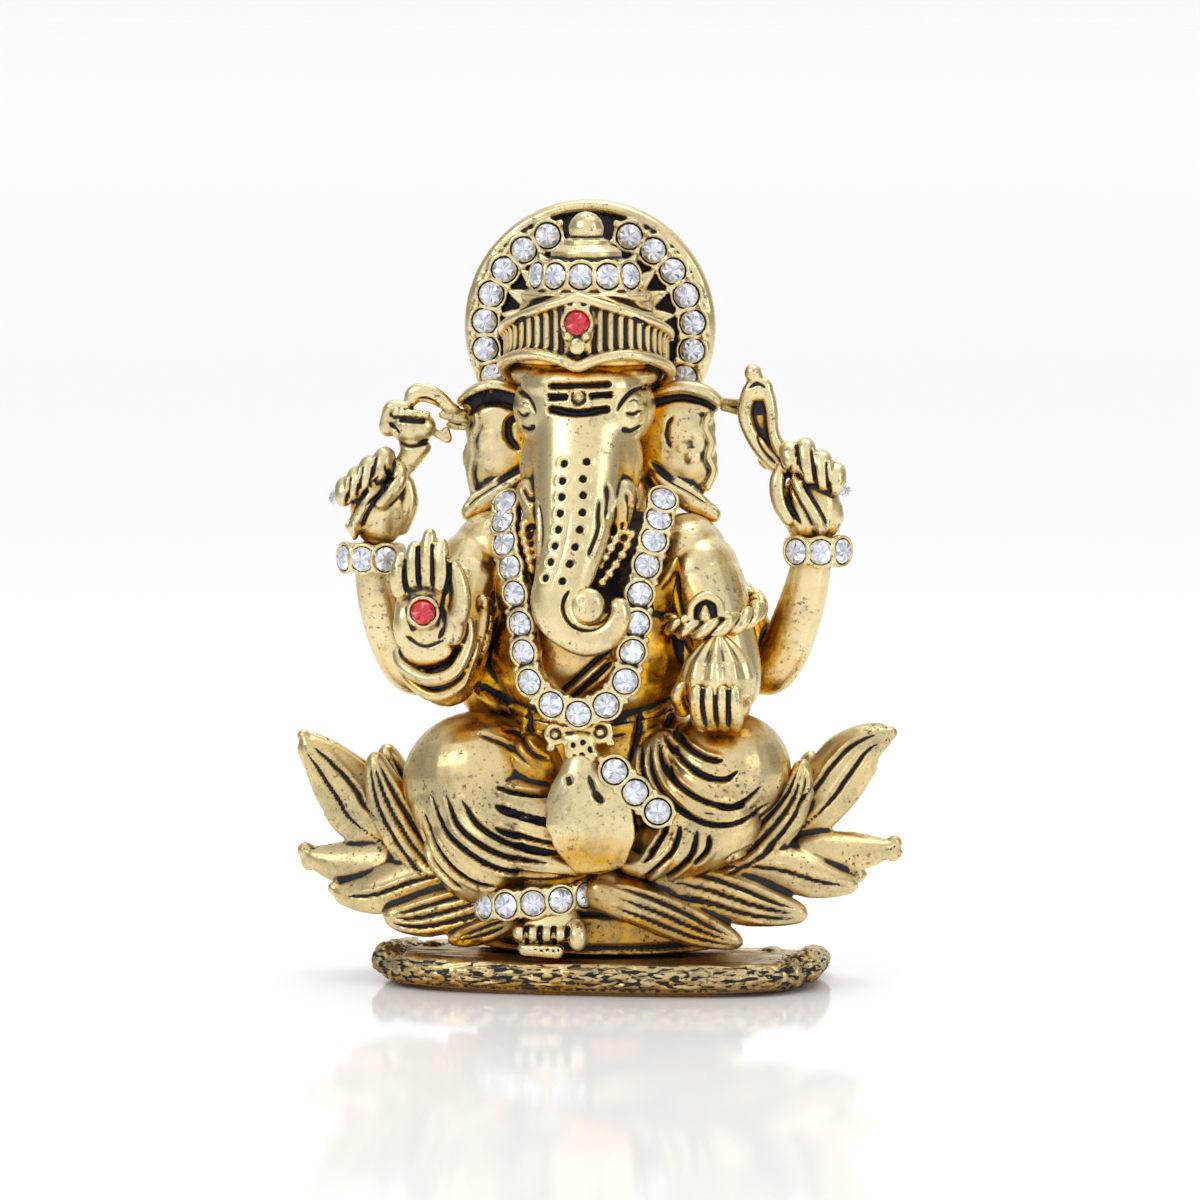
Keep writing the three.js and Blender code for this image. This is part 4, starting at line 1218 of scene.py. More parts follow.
# %% Head mass
head = fuse("elephant_head", [
    lump((-1.3, -2.2, 59.0), (7.3, 5.6, 5.4)), lump((-1.2, -4.4, 58.6), (6.7, 4.0, 5.4)),
    lump((-1.2, -4.6, 54.2), (6.0, 3.9, 5.2)), lump((-5.3, -4.3, 53.2), (2.3, 3.2, 4.2)),
    lump((2.8, -4.5, 53.6), (2.2, 3.2, 4.2)), lump((-1.3, -1.8, 62.4), (7.6, 5.8, 2.6)),
    lump((-1.2, -4.2, 61.2), (6.3, 4.3, 3.2)),
    rod([(-1.2, -3.2, 61.5), (-1.2, -4.6, 57.5), (-1.2, -7.4, 52.4), (-1.4, -10.2, 46.4), (-2.0, -11.7, 42.6),
         (-2.8, -12.4, 39.6), (-1.6, -12.6, 37.3), (0.4, -12.6, 36.2), (2.6, -12.5, 36.9), (3.7, -12.4, 38.6),
         (3.4, -12.3, 40.6)],
        [5.6, 5.5, 4.7, 3.9, 3.2, 2.7, 2.25, 1.75, 1.6, 1.45, 1.2, 0.95],
        [4.2, 4.2, 3.2, 2.3, 1.8, 1.5, 1.3, 1.25, 1.2, 1.1, 0.9], rings=72, sides=32),
    rod([(-6.6, -5.6, 51.6), (-5.8, -7.4, 49.4), (-5.4, -8.4, 46.6)], [1.6, 1.3, 0.8]),
    rod([(3.2, -6.4, 51.9), (3.4, -8.0, 49.6), (3.4, -8.8, 46.9)], [1.5, 1.25, 0.7]),
    *bead_row([(-6.3, -8.0, 48.2), (-6.6, -8.8, 46.8), (-6.1, -9.4, 45.1), (-5.5, -9.9, 43.1)], 7, 0.55),
    *bead_row([(-5.1, -8.4, 47.6), (-5.1, -9.2, 46.2), (-4.8, -9.8, 44.6)], 5, 0.55),
    *bead_row([(3.4, -9.0, 47.0), (2.5, -9.8, 45.4), (1.4, -10.4, 43.6)], 5, 0.55),
    *bead_row([(4.4, -8.8, 46.6), (3.7, -9.6, 44.8), (2.7, -10.2, 43.2), (1.7, -10.8, 41.9)], 6, 0.55),
], voxel=0.17, soften=3)
clay = Clay(head)
clay.rub((-1.2, -8.0, 56.6), (7.5, 4.6, 5.6), 60)       # the brow runs into the trunk without a step
clay.press((-6.9, -6.0, 59.3), 1.3, -0.35).press((4.6, -6.2, 59.7), 1.3, -0.35)

# %% Forehead slots and eyes
FACE = (-14, -5.5)                      # the depth range of the face, so strokes stay off the back parts
SLOTS = [
    ([(-4.4, 61.45), (-1.0, 61.6), (2.4, 61.75)], 0.52), ([(-4.4, 60.3), (-3.3, 60.3), (-2.1, 60.35)], 0.42),
    ([(0.0, 60.4), (1.2, 60.5), (2.5, 60.6)], 0.42), ([(-4.4, 59.15), (-1.0, 58.85), (2.3, 59.2)], 0.52),
]
for path, width in SLOTS:
    clay.stroke(path, width, 0.95, taper=(0.08, 0.08), within=FACE)
for turn in np.linspace(0, 2 * math.pi, 14, endpoint=False):
    clay.press((-1.05 + 0.7 * math.cos(turn), -8.3, 60.35 + 0.7 * math.sin(turn)), 0.34, 0.3)
clay.press((-1.05, -8.3, 60.35), 0.4, -0.35)
EYES = (-14, -3.4)
for path, width, depth in (
    ([(-8.0, 60.6), (-7.0, 60.5), (-6.1, 59.8), (-5.5, 58.6)], 0.30, 0.4),      # brow, right eye first
    ([(-7.8, 58.9), (-7.1, 58.3), (-6.2, 58.7)], 0.28, 0.35),                   # lower lid
    ([(-7.4, 59.5), (-6.8, 59.7), (-6.3, 59.4)], 0.22, 0.25),                   # upper lid
    ([(-7.5, 57.2), (-6.5, 56.9), (-5.6, 57.4)], 0.36, 0.45),                   # cheek fold
    ([(6.0, 61.2), (4.5, 61.0), (3.4, 60.0), (2.8, 58.8)], 0.30, 0.42),
    ([(3.6, 58.8), (4.4, 58.6), (5.2, 59.1)], 0.28, 0.35),
    ([(3.9, 59.8), (4.5, 60.1), (5.1, 59.8)], 0.22, 0.25),
    ([(3.2, 57.2), (4.1, 56.8), (5.2, 57.4)], 0.36, 0.45),
):
    clay.stroke(path, width, depth, within=EYES)

# %% Trunk pits, trunk line and tusks
TRUNK_PITS = [                          # two rows of eight, each from the brow down
    (-2.3, 53.9), (-2.4, 52.2), (-2.4, 50.6), (-2.5, 49.0), (-2.6, 47.4), (-2.9, 45.8),
    (-3.3, 44.2), (-3.8, 42.6), (0.1, 54.1), (-0.2, 52.4), (-0.1, 50.8), (-0.1, 49.1),
    (-0.3, 47.4), (-0.7, 45.7), (-1.2, 44.0), (-1.9, 42.3),
]


def at_front(x, z):
    """The frontmost skin point there."""
    near = np.hypot(clay.at[:, 0] - x, clay.at[:, 2] - z) < 0.3
    return (x, clay.at[near, 1].min(), z)


for x, z in TRUNK_PITS:
    clay.press(at_front(x, z), 0.95, -0.12).press(at_front(x, z), 0.56, 0.7)
clay.stroke([(-1.3, 49.6), (-1.7, 46.4), (-2.3, 43.8), (-3.2, 41.2)], 0.25, 0.1, within=FACE)
for path in (                           # the edges of the trunk, against the tusks
    [(-4.9, 50.0), (-4.5, 48.0), (-4.4, 46.2), (-4.9, 43.4)],
    [(1.5, 50.4), (1.5, 48.6), (1.5, 47.2), (0.6, 44.6)],
):
    clay.stroke(path, 0.35, 0.5, taper=(0.3, 0.1), within=FACE)
clay.stroke([(-6.9, 51.2), (-6.2, 50.2), (-5.3, 50.0)], 0.4, 0.4, within=FACE)
clay.press((-5.7, -8.9, 47.2), 0.55, 0.7).press((3.6, -9.4, 47.5), 0.5, 0.5)
clay.stroke([(2.1, 51.8), (2.4, 50.0), (2.2, 48.2)], 0.4, 0.6, within=FACE)
clay.stroke([(3.9, 51.0), (4.4, 49.4), (4.3, 47.6)], 0.4, 0.5, within=FACE)
SWEET_X, SWEET_Z = 0.45, 39.7           # the middle of the sweet that the trunk holds
turns = np.radians(np.linspace(130, 380, 30))
curl = [(SWEET_X + 2.25 * math.cos(a), SWEET_Z + 2.25 * math.sin(a)) for a in turns]
clay.stroke(curl, 0.3, 0.5, taper=(0.1, 0.1), within=(-15, -9))         # the dark ring round the sweet


def brow_and_cheeks(x, y, z):
    """Painted amber shade just below the crown, and at the sides of the face below the eyes."""
    return 0.7 * np.clip((z - 62.2) / 0.6, 0, 1) + 0.5 * (z < 56) * (np.abs(x + 1.2) > 4.2)


finish_casting(clay.done(), "head", warm=brow_and_cheeks)

# %% The sweet in the trunk
sweet = fuse("trunk_sweet_ball", [lump((SWEET_X, -12.7, SWEET_Z), (1.9, 1.15, 1.9))], voxel=0.12, soften=2)
finish_casting(Clay(sweet).press((0.1, -13.7, 40.3), 0.5, 0.1).done(), "trunk_sweet")

# %% [markdown]
# ## Ears
# Each ear is a broad leaf with a rolled rim along the top, a scalloped outer edge, and a strip along
# the bottom that folds forward over the shoulder.


# %% Ears
HEAD_X = -1.3                           # the middle of the head, which is turned a little to its right
LEAF = [                                # the masses of a leaf: out from the head, depth, height, radii
    (8.9, 1.9, 56.6, (4.1, 0.95, 3.8)), (10.4, 1.9, 58.7, (2.9, 0.8, 0.9)), (9.0, 1.8, 53.4, (4.2, 0.9, 3.6)),
    (10.2, 1.9, 52.4, (2.5, 0.85, 3.2)), (7.0, 1.8, 54.6, (3.6, 0.9, 5.4)),
]


def ear(name, node, side, rim, edge, strip, under, grooves, swells):
    """side is -1 for the figure's right ear. The three lines are its rim, outer edge and lower strip.
    under is the groove below the rim, and the last two are the grooves and swells of its face."""
    body = [
        *[lump((side * out + HEAD_X, y, z), radii) for out, y, z, radii in LEAF],
        rod(rim, [0.5, 0.75, 0.8, 0.55], [0.75, 1.1, 1.0, 0.6]),
        rod(edge, [0.5, 0.5, 0.5, 0.45], [0.8, 0.75, 0.75, 0.6]),
        rod([(x - side * 1.3, y + 0.2, z) for x, y, z in edge], [1.3, 1.4, 1.4, 1.0], [0.75, 0.8, 0.8, 0.5]),
        rod(strip, [0.7, 1.2, 1.3, 0.7], [0.8, 0.9, 0.9, 0.7]),
    ]
    clay = Clay(fuse(name, body, voxel=0.2, soften=3))
    clay.stroke([(x, z - 1.2) for x, y, z in rim], *under, taper=(0.15, 0.2))
    clay.stroke([(x - side * 0.2, z + 1.15) for x, y, z in strip], 0.4, 0.4, taper=(0.2, 0.2))
    for path, width, depth in grooves:
        clay.stroke(path, width, depth, taper=(0.2, 0.2))
    for x, z, size, depth in swells:
        clay.press((x, 0.95, z), size, depth)
    clay.stroke([(side * out + HEAD_X, z) for out, z in ((6, 60), (9, 56), (9, 51))], 0.8, 0.4, "back")
    # painted amber shade on the ear near the head
    finish_casting(clay.done(), node, warm=lambda x, y, z: 0.5 * (np.abs(x - HEAD_X) < 7.6))


ear(
    "right_ear_leaf", "right_ear", -1,
    [(-6.4, 1.4, 59.4), (-9.2, 1.1, 60.4), (-11.2, 1.0, 60.8), (-13.2, 1.2, 60.1), (-14.9, 1.5, 58.8)],
    [(-13.2, 1.6, 58.6), (-12.8, 1.6, 57.0), (-13.4, 1.6, 55.4), (-13.3, 1.6, 53.6), (-13.6, 1.6, 51.8),
     (-13.0, 1.4, 49.0)],
    [(-7.2, 1.2, 52.0), (-10.6, 0.9, 50.0), (-12.8, 0.9, 48.5), (-14.3, 1.3, 47.2)],
    (1.1, 0.7),
    [([(-8.6, 57.9), (-9.6, 57.0), (-9.5, 55.4), (-8.4, 54.2)], 0.55, 0.7)],
    [(-11.2, 55.4, 1.2, -0.2)],
)
ear(
    "left_ear_leaf", "left_ear", 1,
    [(3.8, 1.4, 59.6), (6.2, 1.1, 60.5), (8.5, 1.0, 60.9), (10.8, 1.2, 60.3), (12.5, 1.5, 59.0)],
    [(11.2, 1.6, 58.4), (10.7, 1.6, 56.9), (11.3, 1.6, 55.3), (11.0, 1.6, 53.7), (11.5, 1.6, 52.2),
     (10.6, 1.4, 50.2)],
    [(5.1, 1.2, 52.2), (7.3, 0.9, 50.4), (9.4, 0.9, 49.2), (12.2, 1.3, 47.4)],
    (0.3, 0.35),
    [([(7.4, 58.0), (6.8, 57.0), (6.7, 55.6), (7.2, 54.6)], 0.3, 0.25)],
    [(9.4, 56.6, 1.2, -0.15), (9.3, 53.8, 0.9, -0.35), (8.2, 54.6, 0.6, -0.15)],
)


# %% [markdown]
# ## Crown
# The crown is a tiara with upright flutes, a thick lower rim that dips in a double arch over the
# forehead and an upper rim that climbs to a peak. Behind it stand a ring of five set stones, two
# ledges and a dome. The flutes are one wave along the rim, so that band is drawn as a surface whose
# radius rises and falls with the angle.


# %% Crown helpers
def turned(profile, centre, squash=1.0, sides=64):
    """A turned piece. profile is (radius, height) pairs from the bottom to the top, off the axis."""
    steps = np.arange(sides) / sides * 2 * math.pi
    points = [
        (centre[0] + r * math.sin(a), centre[1] - r * math.cos(a) * squash, centre[2] + z)
        for r, z in profile for a in steps
    ]
    return mesh_object("turned", points, shell_faces(len(profile), sides))


CROWN_RADIUS = 8.3
FLUTES = 46


def on_crown(angle, height, out=0.0):
    """A point on the tiara wall. angle is in radians from the front."""
    radius = CROWN_RADIUS + out
    return (
        CROWN_AXIS[0] + radius * math.sin(angle),
        CROWN_AXIS[1] - (radius * math.cos(angle)) * CROWN_SQUASH, height,
    )


def lower_rim(angle):
    """Height of the lower rim: a double arch that dips at the front and falls at the sides."""
    a = min(abs(angle), 2.2)
    return 63.5 + 1.15 * math.sin(min(a / 0.55, 1) * math.pi / 2) - 1.9 * max(a - 0.62, 0) ** 1.35


def upper_rim(angle):
    """Height of the upper rim: a peak at the front, level at the back."""
    a = min(abs(angle), 1.75)
    return 70.5 - 2.55 * a ** 0.95


def tiara():
    """The fluted band: an outer wall that waves with the angle, and a smooth inner one."""
    sides, rows = 460, 8
    outer, inner = [], []
    for row in range(rows):
        share = row / (rows - 1)
        for s in range(sides):
            angle = (s / sides * 2 - 1) * math.pi
            height = lower_rim(angle) * (1 - share) + upper_rim(angle) * share
            wave = math.cos(angle * FLUTES)
            outer.append(on_crown(angle, height, 0.26 * max(min(wave * 2.2 + 0.3, 1), -1) - 0.1))
            inner.append(on_crown(angle, height, -1.9))
    points = outer + inner
    skip = rows * sides
    faces = []
    for row in range(rows - 1):
        for s in range(sides):
            a, b = row * sides + s, row * sides + (s + 1) % sides
            faces.append((a, b, b + sides, a + sides))
            faces.append((skip + b, skip + a, skip + a + sides, skip + b + sides))
    for s in range(sides):
        t = (s + 1) % sides
        faces.append((t, s, skip + s, skip + t))
        top = (rows - 1) * sides
        faces.append((top + s, top + t, skip + top + t, skip + top + s))
    return mesh_object("tiara", points, faces)


def rim(height_of, out, wide, thick):
    """The thick rim of the tiara at that height."""
    line = [on_crown(a, height_of(a), out) for a in np.linspace(-math.pi, math.pi, 49)]
    return rod(line, [wide, wide], [thick, thick], face=(0, 0, 1), rings=150, blunt=False)


# %% Crown
TIERS = [                               # each (radius, height) from the bottom up, and depth against width
    ([(6.0, 63.2), (7.2, 63.5), (7.5, 64.4), (7.5, 67.0), (1.0, 67.2)], CROWN_SQUASH),
    ([(6.9, 66.6), (6.8, 69.2), (6.4, 70.0), (5.0, 70.5), (0.5, 70.6)], CROWN_SQUASH),
    ([(5.2, 69.6), (6.6, 70.0), (6.7, 70.5), (5.6, 71.0), (4.9, 71.2), (4.9, 73.6), (1.0, 73.9)],
     CROWN_SQUASH),
    ([(3.9, 73.3), (4.2, 73.5), (4.2, 73.9), (3.3, 74.2), (1.0, 74.3)], CROWN_SQUASH + 0.08),
    ([(3.0, 74.0), (3.6, 74.3), (3.6, 74.8), (3.0, 75.2), (2.4, 75.5), (0.6, 75.6)], 0.85),
    ([(1.9, 75.4), (2.3, 75.6), (2.3, 75.9), (1.6, 76.2), (0.6, 76.3)], 0.9),
    ([(1.3, 76.0), (1.7, 76.5), (1.8, 77.2), (1.55, 77.9), (1.0, 78.5), (0.3, 78.8)], 0.9),
]
crown_seats = seats("stone_crown")
x, y = CROWN_AXIS
brow = SEATS["stone_brow_red"][0]
parts = [
    tiara(), rim(lower_rim, 0.15, 0.72, 0.62), rim(upper_rim, 0.10, 0.62, 0.5),
    *[turned(profile, (x, y, 0), squash) for profile, squash in TIERS],
    *cups_on(crown_seats, 1.2),
    prong(crown_seats[0][0] + Vector((-0.9, 0.9, -0.9))),
    prong(crown_seats[-1][0] + Vector((1.0, 0.9, -0.9))),
    rod([tuple(brow + Vector(way)) for way in ((0, 0.8, 2.1), (0, 0.6, 0), (0, 0.7, -3.3))],
        [1.2, 1.75, 1.8, 1.6, 0.8], [0.6, 0.6]),
    hoop(tuple(brow + Vector((0, 0.1, 0))), 1.5, 0.22, (94, 0, 0)),
    lump(tuple(brow + Vector((0, 0.25, -2.35))), (0.85, 0.5, 0.95)),
    lump(tuple(brow + Vector((0, 0.35, 1.85))), (0.8, 0.4, 0.6)),
    *[prong(brow + Vector((side * 0.95, out, up)), radius)
      for out, up, radius in ((-0.1, -1.35, 0.5), (0.1, 1.35, 0.4)) for side in (-1, 1)],
]
crown = fuse("fluted_crown", parts, voxel=0.15, soften=1)
clay = Clay(crown)
for side in (-1, 1):
    for height in (68.6, 67.4):         # creases in the cap behind the tiara
        crease = [(x + side * out, height + up) for out, up in ((2.2, 2.0), (5.0, 1.1), (7.0, 0.0))]
        clay.stroke(crease, 0.3, 0.3, within=(-7.4, 0))
for step in np.arange(-3.6, 3.7, 1.2):  # the scalloped edge under the upper ledge
    clay.press((x + step, y - 3.3 * math.sqrt(max(1 - (step / 4.2) ** 2, 0)), 73.9), 0.42, 0.2)
clay.press((x, y - 1.9, 77.4), 0.28, 0.2)
# painted amber shade along the bottom of the crown
finish_casting(clay.done(), "crown", fine=0.09,
               warm=lambda x, y, z: 0.55 * (z < 63.1 - 0.011 * (x - CROWN_AXIS[0]) ** 2))

# %% [markdown]
# ## Halo
# The halo is a disc with a thick smooth rim. Inside it a ring of fourteen cups runs down both sides,
# and pointed rays stand on a flat dark ground round the crown. The ground gets its darkness from
# the patina that is left on it.


# %% Halo helpers
HALO_RADIUS = 13.0
low, high, centre = box_mm("halo")
HALO_X, HALO_Z = centre[0], high[2] - HALO_RADIUS
RIM_END = 138.0                         # degrees from the top where the rim ends, behind the head


def halo_point(degrees, radius, y):
    """A point on the halo. degrees run clockwise from the top, as seen from the front."""
    angle = math.radians(degrees)
    return (HALO_X + radius * math.sin(angle), y, HALO_Z + radius * math.cos(angle))


def arc(radius, y, end, count):
    """An even line of points round the top of the halo, to that many degrees on both sides."""
    return [halo_point(a, radius, y) for a in np.linspace(-end, end, count)]


def ray(degrees):
    """One pointed ray of the halo, a flat leaf with a ridge."""
    tip, base = halo_point(degrees, 9.0, 3.2), halo_point(degrees, 6.4, 3.2)
    return rod([tip, base], [0.12, 0.6, 0.95, 1.15], [0.35, 0.6, 0.7, 0.7], sides=12, rings=12, blunt=False)


def ground(x, y, z):
    """1 on the flat ground of the halo, 0 on what stands up from it."""
    away = np.hypot(x - HALO_X, z - HALO_Z)
    return 1.0 * (away < 11.6) * (y > 4.0) * (y < 5.6)


def turn_from_top(seat):
    """How far round the halo a stone sits, in radians."""
    return math.atan2(seat[0][0] - HALO_X, seat[0][2] - HALO_Z)


# %% Halo
halo_seats = sorted(seats("stone_halo"), key=turn_from_top)
parts = [
    disc((HALO_X, 5.0, HALO_Z), (0, 1, 0), 12.5, -0.15, 0.85, sides=72),
    rod(arc(12.25, 4.75, RIM_END, 41), [0.72, 0.72], [1.0, 1.0], rings=120),
    rod(arc(12.0, 5.3, RIM_END, 41), [0.7, 0.7], [0.6, 0.6], rings=120),
    rod(arc(6.5, 4.0, 135, 30), [0.8, 0.8], [0.7, 0.7], rings=60),
    *[ray(side * degrees) for side in (-1, 1) for degrees in range(34, 131, 16)],
]
for side in (-1, 1):                    # a strip of seven cups on each side, open at the top
    strip = [seat for seat in halo_seats if side * (seat[0][0] - HALO_X) > 0]
    backing = [tuple(place + Vector((0, 1.15, 0))) for place, _ in strip]
    parts += [rod(backing, [1.2, 1.2], [0.5, 0.5], rings=60), *cups_on(strip)]
    topmost = min(strip, key=lambda seat: abs(turn_from_top(seat)))[0]
    for across, up in ((1.35, 1.3), (1.75, -0.6)):
        parts.append(prong(topmost + Vector((-side * across, 0.1, up)), 0.42))
halo = fuse("sunburst_halo", parts, voxel=0.17, soften=2)
apply_modifier(halo, "TRIANGULATE")
clay = Clay(halo)
clay.at[:, 2] = np.maximum(clay.at[:, 2], low[2] + 0.05)
ring_behind = [(x, z) for x, y, z in arc(9.2, 0, math.degrees(2.2), 40)]
clay.stroke(ring_behind, 0.5, 0.3, "back", (0.02, 0.02))
finish_casting(clay.done(), "halo", fine=0.11, broad=0.5, dark=ground)


# %% [markdown]
# ## Rear arms
# Both rear arms rise from behind the shoulders to a raised fist. In each fist the fingers fold over a
# slanting handle that ends in a small diamond pommel at the wrist. A band of three cups rings each
# wrist, and a stone sits on the outer finger.


# %% Rear arms
def rear_arm(name, node, arm, wrist, palm, knuckles, tips, thumb, handle, heel):
    """A rear arm from its lines: the arm, the mass of the fist, four fingers, thumb and handle."""
    middle = ((wrist[0] + palm[0]) / 2, wrist[1], (wrist[2] + palm[2]) / 2)
    parts = [
        rod(arm, [2.9, 2.9, 2.8, 2.6, 2.4, 2.1, 1.9], [2.8, 2.7, 2.6, 2.3, 2.0, 1.8, 1.7], BACK, rings=60),
        rod([wrist, middle, palm], [1.9, 2.3, 2.6], [1.7, 1.6, 1.5]),
        lump(palm, (2.9, 1.7, 2.7)),
        lump((wrist[0] * 0.35 + palm[0] * 0.65, -1.2, palm[2] - 1.2), (3.0, 2.0, 4.0)),
        rod(heel, [0.8, 1.1, 0.8], [0.9, 1.1, 0.8]),
        rod(handle, [0.62, 0.62], [0.62, 0.62]),
        rod(thumb, [0.75, 0.85, 0.85, 0.7]),
    ]
    end = np.array(handle[-1])
    pommel = [end + (0, 0, 1.5), end + (0, -0.1, 0), end - (0, 0, 1.5)]
    parts.append(rod(pommel, [0.15, 1.15, 0.15], [0.3, 1.0, 0.3], sides=4, rings=8, blunt=False))
    for knuckle, tip in zip(map(Vector, knuckles), map(Vector, tips)):
        back = knuckle + Vector((0, 1.9, -0.5)) + (Vector(palm) - knuckle) * 0.25
        joint = (knuckle + tip) / 2 + Vector((0, -0.55, 0.1))
        parts.append(rod([back, knuckle, joint, tip], [0.8, 1.05, 1.05, 0.75], rings=24))
    clay = Clay(fuse(name, parts, voxel=0.17, soften=2))
    side = 1 if palm[0] > 0 else -1
    for (a, b), (c, d) in zip(zip(knuckles, tips), zip(knuckles[1:], tips[1:])):
        x, z = (a[0] + c[0]) / 2, (a[2] + c[2]) / 2         # between two knuckles
        between_tips = ((b[0] + d[0]) / 2, (b[2] + d[2]) / 2 - 0.2)
        clay.stroke([(x, z + 0.6), between_tips], 0.24, 0.45, taper=(0.1, 0.1))
        clay.stroke([(x, z + 1.0), (x - side, z - 1.5)], 0.3, 0.4, "back", taper=(0.1, 0.3))
    clay.stroke([(p[0] + side * 0.95, p[2]) for p in thumb], 0.3, 0.45, taper=(0.15, 0.15))
    for shift in (-0.8, 0.8):           # the handle stands clear of the palm between two dark lines
        clay.stroke([(p[0] + shift, p[2]) for p in handle], 0.2, 0.3, taper=(0.2, 0.1))
    # painted amber shade on the arm well below the wrist
    finish_casting(clay.done(), node, fine=0.10, warm=lambda x, y, z: 0.35 * (z < wrist[2] - 5))


rear_arm(
    "right_rear_arm_casting", "right_rear_arm",
    [(-12.8, 3.0, 41.0), (-16.6, 2.6, 34.2), (-19.2, 1.8, 31.6), (-21.2, 1.0, 34.0), (-22.5, 0.0, 38.2),
     (-23.2, -0.4, 42.4), (-23.2, -0.4, 45.2)],
    (-23.2, -0.4, 45.2), (-22.3, -0.8, 49.6),
    [(-21.8, -2.2, 53.8), (-23.3, -2.4, 52.9), (-24.6, -2.3, 51.8), (-25.8, -2.0, 50.7)],
    [(-22.3, -3.0, 51.2), (-23.7, -3.1, 50.2), (-25.0, -2.9, 49.3), (-26.1, -2.5, 48.6)],
    [(-20.6, -1.4, 53.2), (-20.2, -2.8, 51.6), (-21.0, -3.3, 50.2), (-22.6, -3.0, 48.6)],
    [(-20.9, -1.4, 52.4), (-22.9, -3.0, 50.0), (-24.2, -3.0, 48.1), (-24.9, -2.6, 46.6)],
    [(-20.0, -0.9, 51.8), (-19.6, -1.2, 48.8), (-20.6, -1.0, 45.6)],
)
rear_arm(
    "left_rear_arm_casting", "left_rear_arm",
    [(12.2, 3.0, 41.0), (14.6, 2.4, 35.6), (16.7, 1.6, 32.2), (18.8, 0.8, 34.2), (20.5, 0.2, 38.4),
     (21.6, -0.4, 42.6), (21.9, -0.4, 46.0)],
    (22.0, -0.4, 46.0), (21.7, -0.8, 50.0),
    [(19.6, -2.2, 54.8), (21.3, -2.5, 55.2), (23.0, -2.4, 54.0), (24.4, -2.0, 52.7)],
    [(20.4, -3.0, 52.6), (21.9, -3.1, 51.4), (23.3, -2.9, 50.8), (24.5, -2.5, 50.3)],
    [(19.2, -1.6, 53.6), (18.5, -2.6, 51.6), (18.8, -2.8, 49.4), (20.0, -2.4, 47.2)],
    [(19.9, -1.6, 52.8), (21.0, -3.0, 50.6), (22.1, -3.0, 48.8), (22.9, -2.6, 47.2)],
    [(23.9, -0.9, 50.0), (24.0, -1.0, 48.0), (23.2, -0.8, 46.0)],
)
strip_stones("stone_finger_right", [(Vector((-27.0, -2.9, 49.5)), Vector((-0.75, -0.8, 0.1)))], 0.75)
strip_stones("stone_finger_left", [(Vector((25.4, -2.9, 50.9)), Vector((0.75, -0.8, 0.1)))], 0.75)


# %% Wrist bands
def wrist_band(node, prefix):
    """A ring round the wrist that carries three cups."""
    centre = box_mm(node)[2]
    places = sorted(seats(prefix), key=lambda seat: seat[0][0])
    ring = [
        (centre[0] + 2.9 * math.sin(a), centre[1] - 2.9 * math.cos(a), centre[2])
        for a in np.linspace(-math.pi, math.pi, 33)
    ]
    item = fuse(node + "_cups", [
        rod(ring, [0.5, 0.5], [1.35, 1.35], face=(0, 0, 1), rings=90, blunt=False),
        *[piece for place, facing in places for piece in cup(place, facing, 1.2, -0.5, 0.5)],
        *prongs_between(places, 1.15, 0.34),
    ], voxel=0.15, soften=2)
    clay = Clay(item)
    clay.stroke([(centre[0] + x, centre[2]) for x in (-3.2, 0, 3.2)], 0.6, 0.3, "back", (0.02, 0.02))
    finish_casting(clay.done(), node)


wrist_band("right_bracelet", "stone_right_wrist")
wrist_band("left_bracelet", "stone_left_wrist")

# %% [markdown]
# ## Front arms
# The right front hand is raised in blessing, palm forward, with a red stone in the palm and two
# bangles below it. The left front hand holds a ridged sweet with four fingers drawn up below it, and
# wears a roped armlet with a crest.


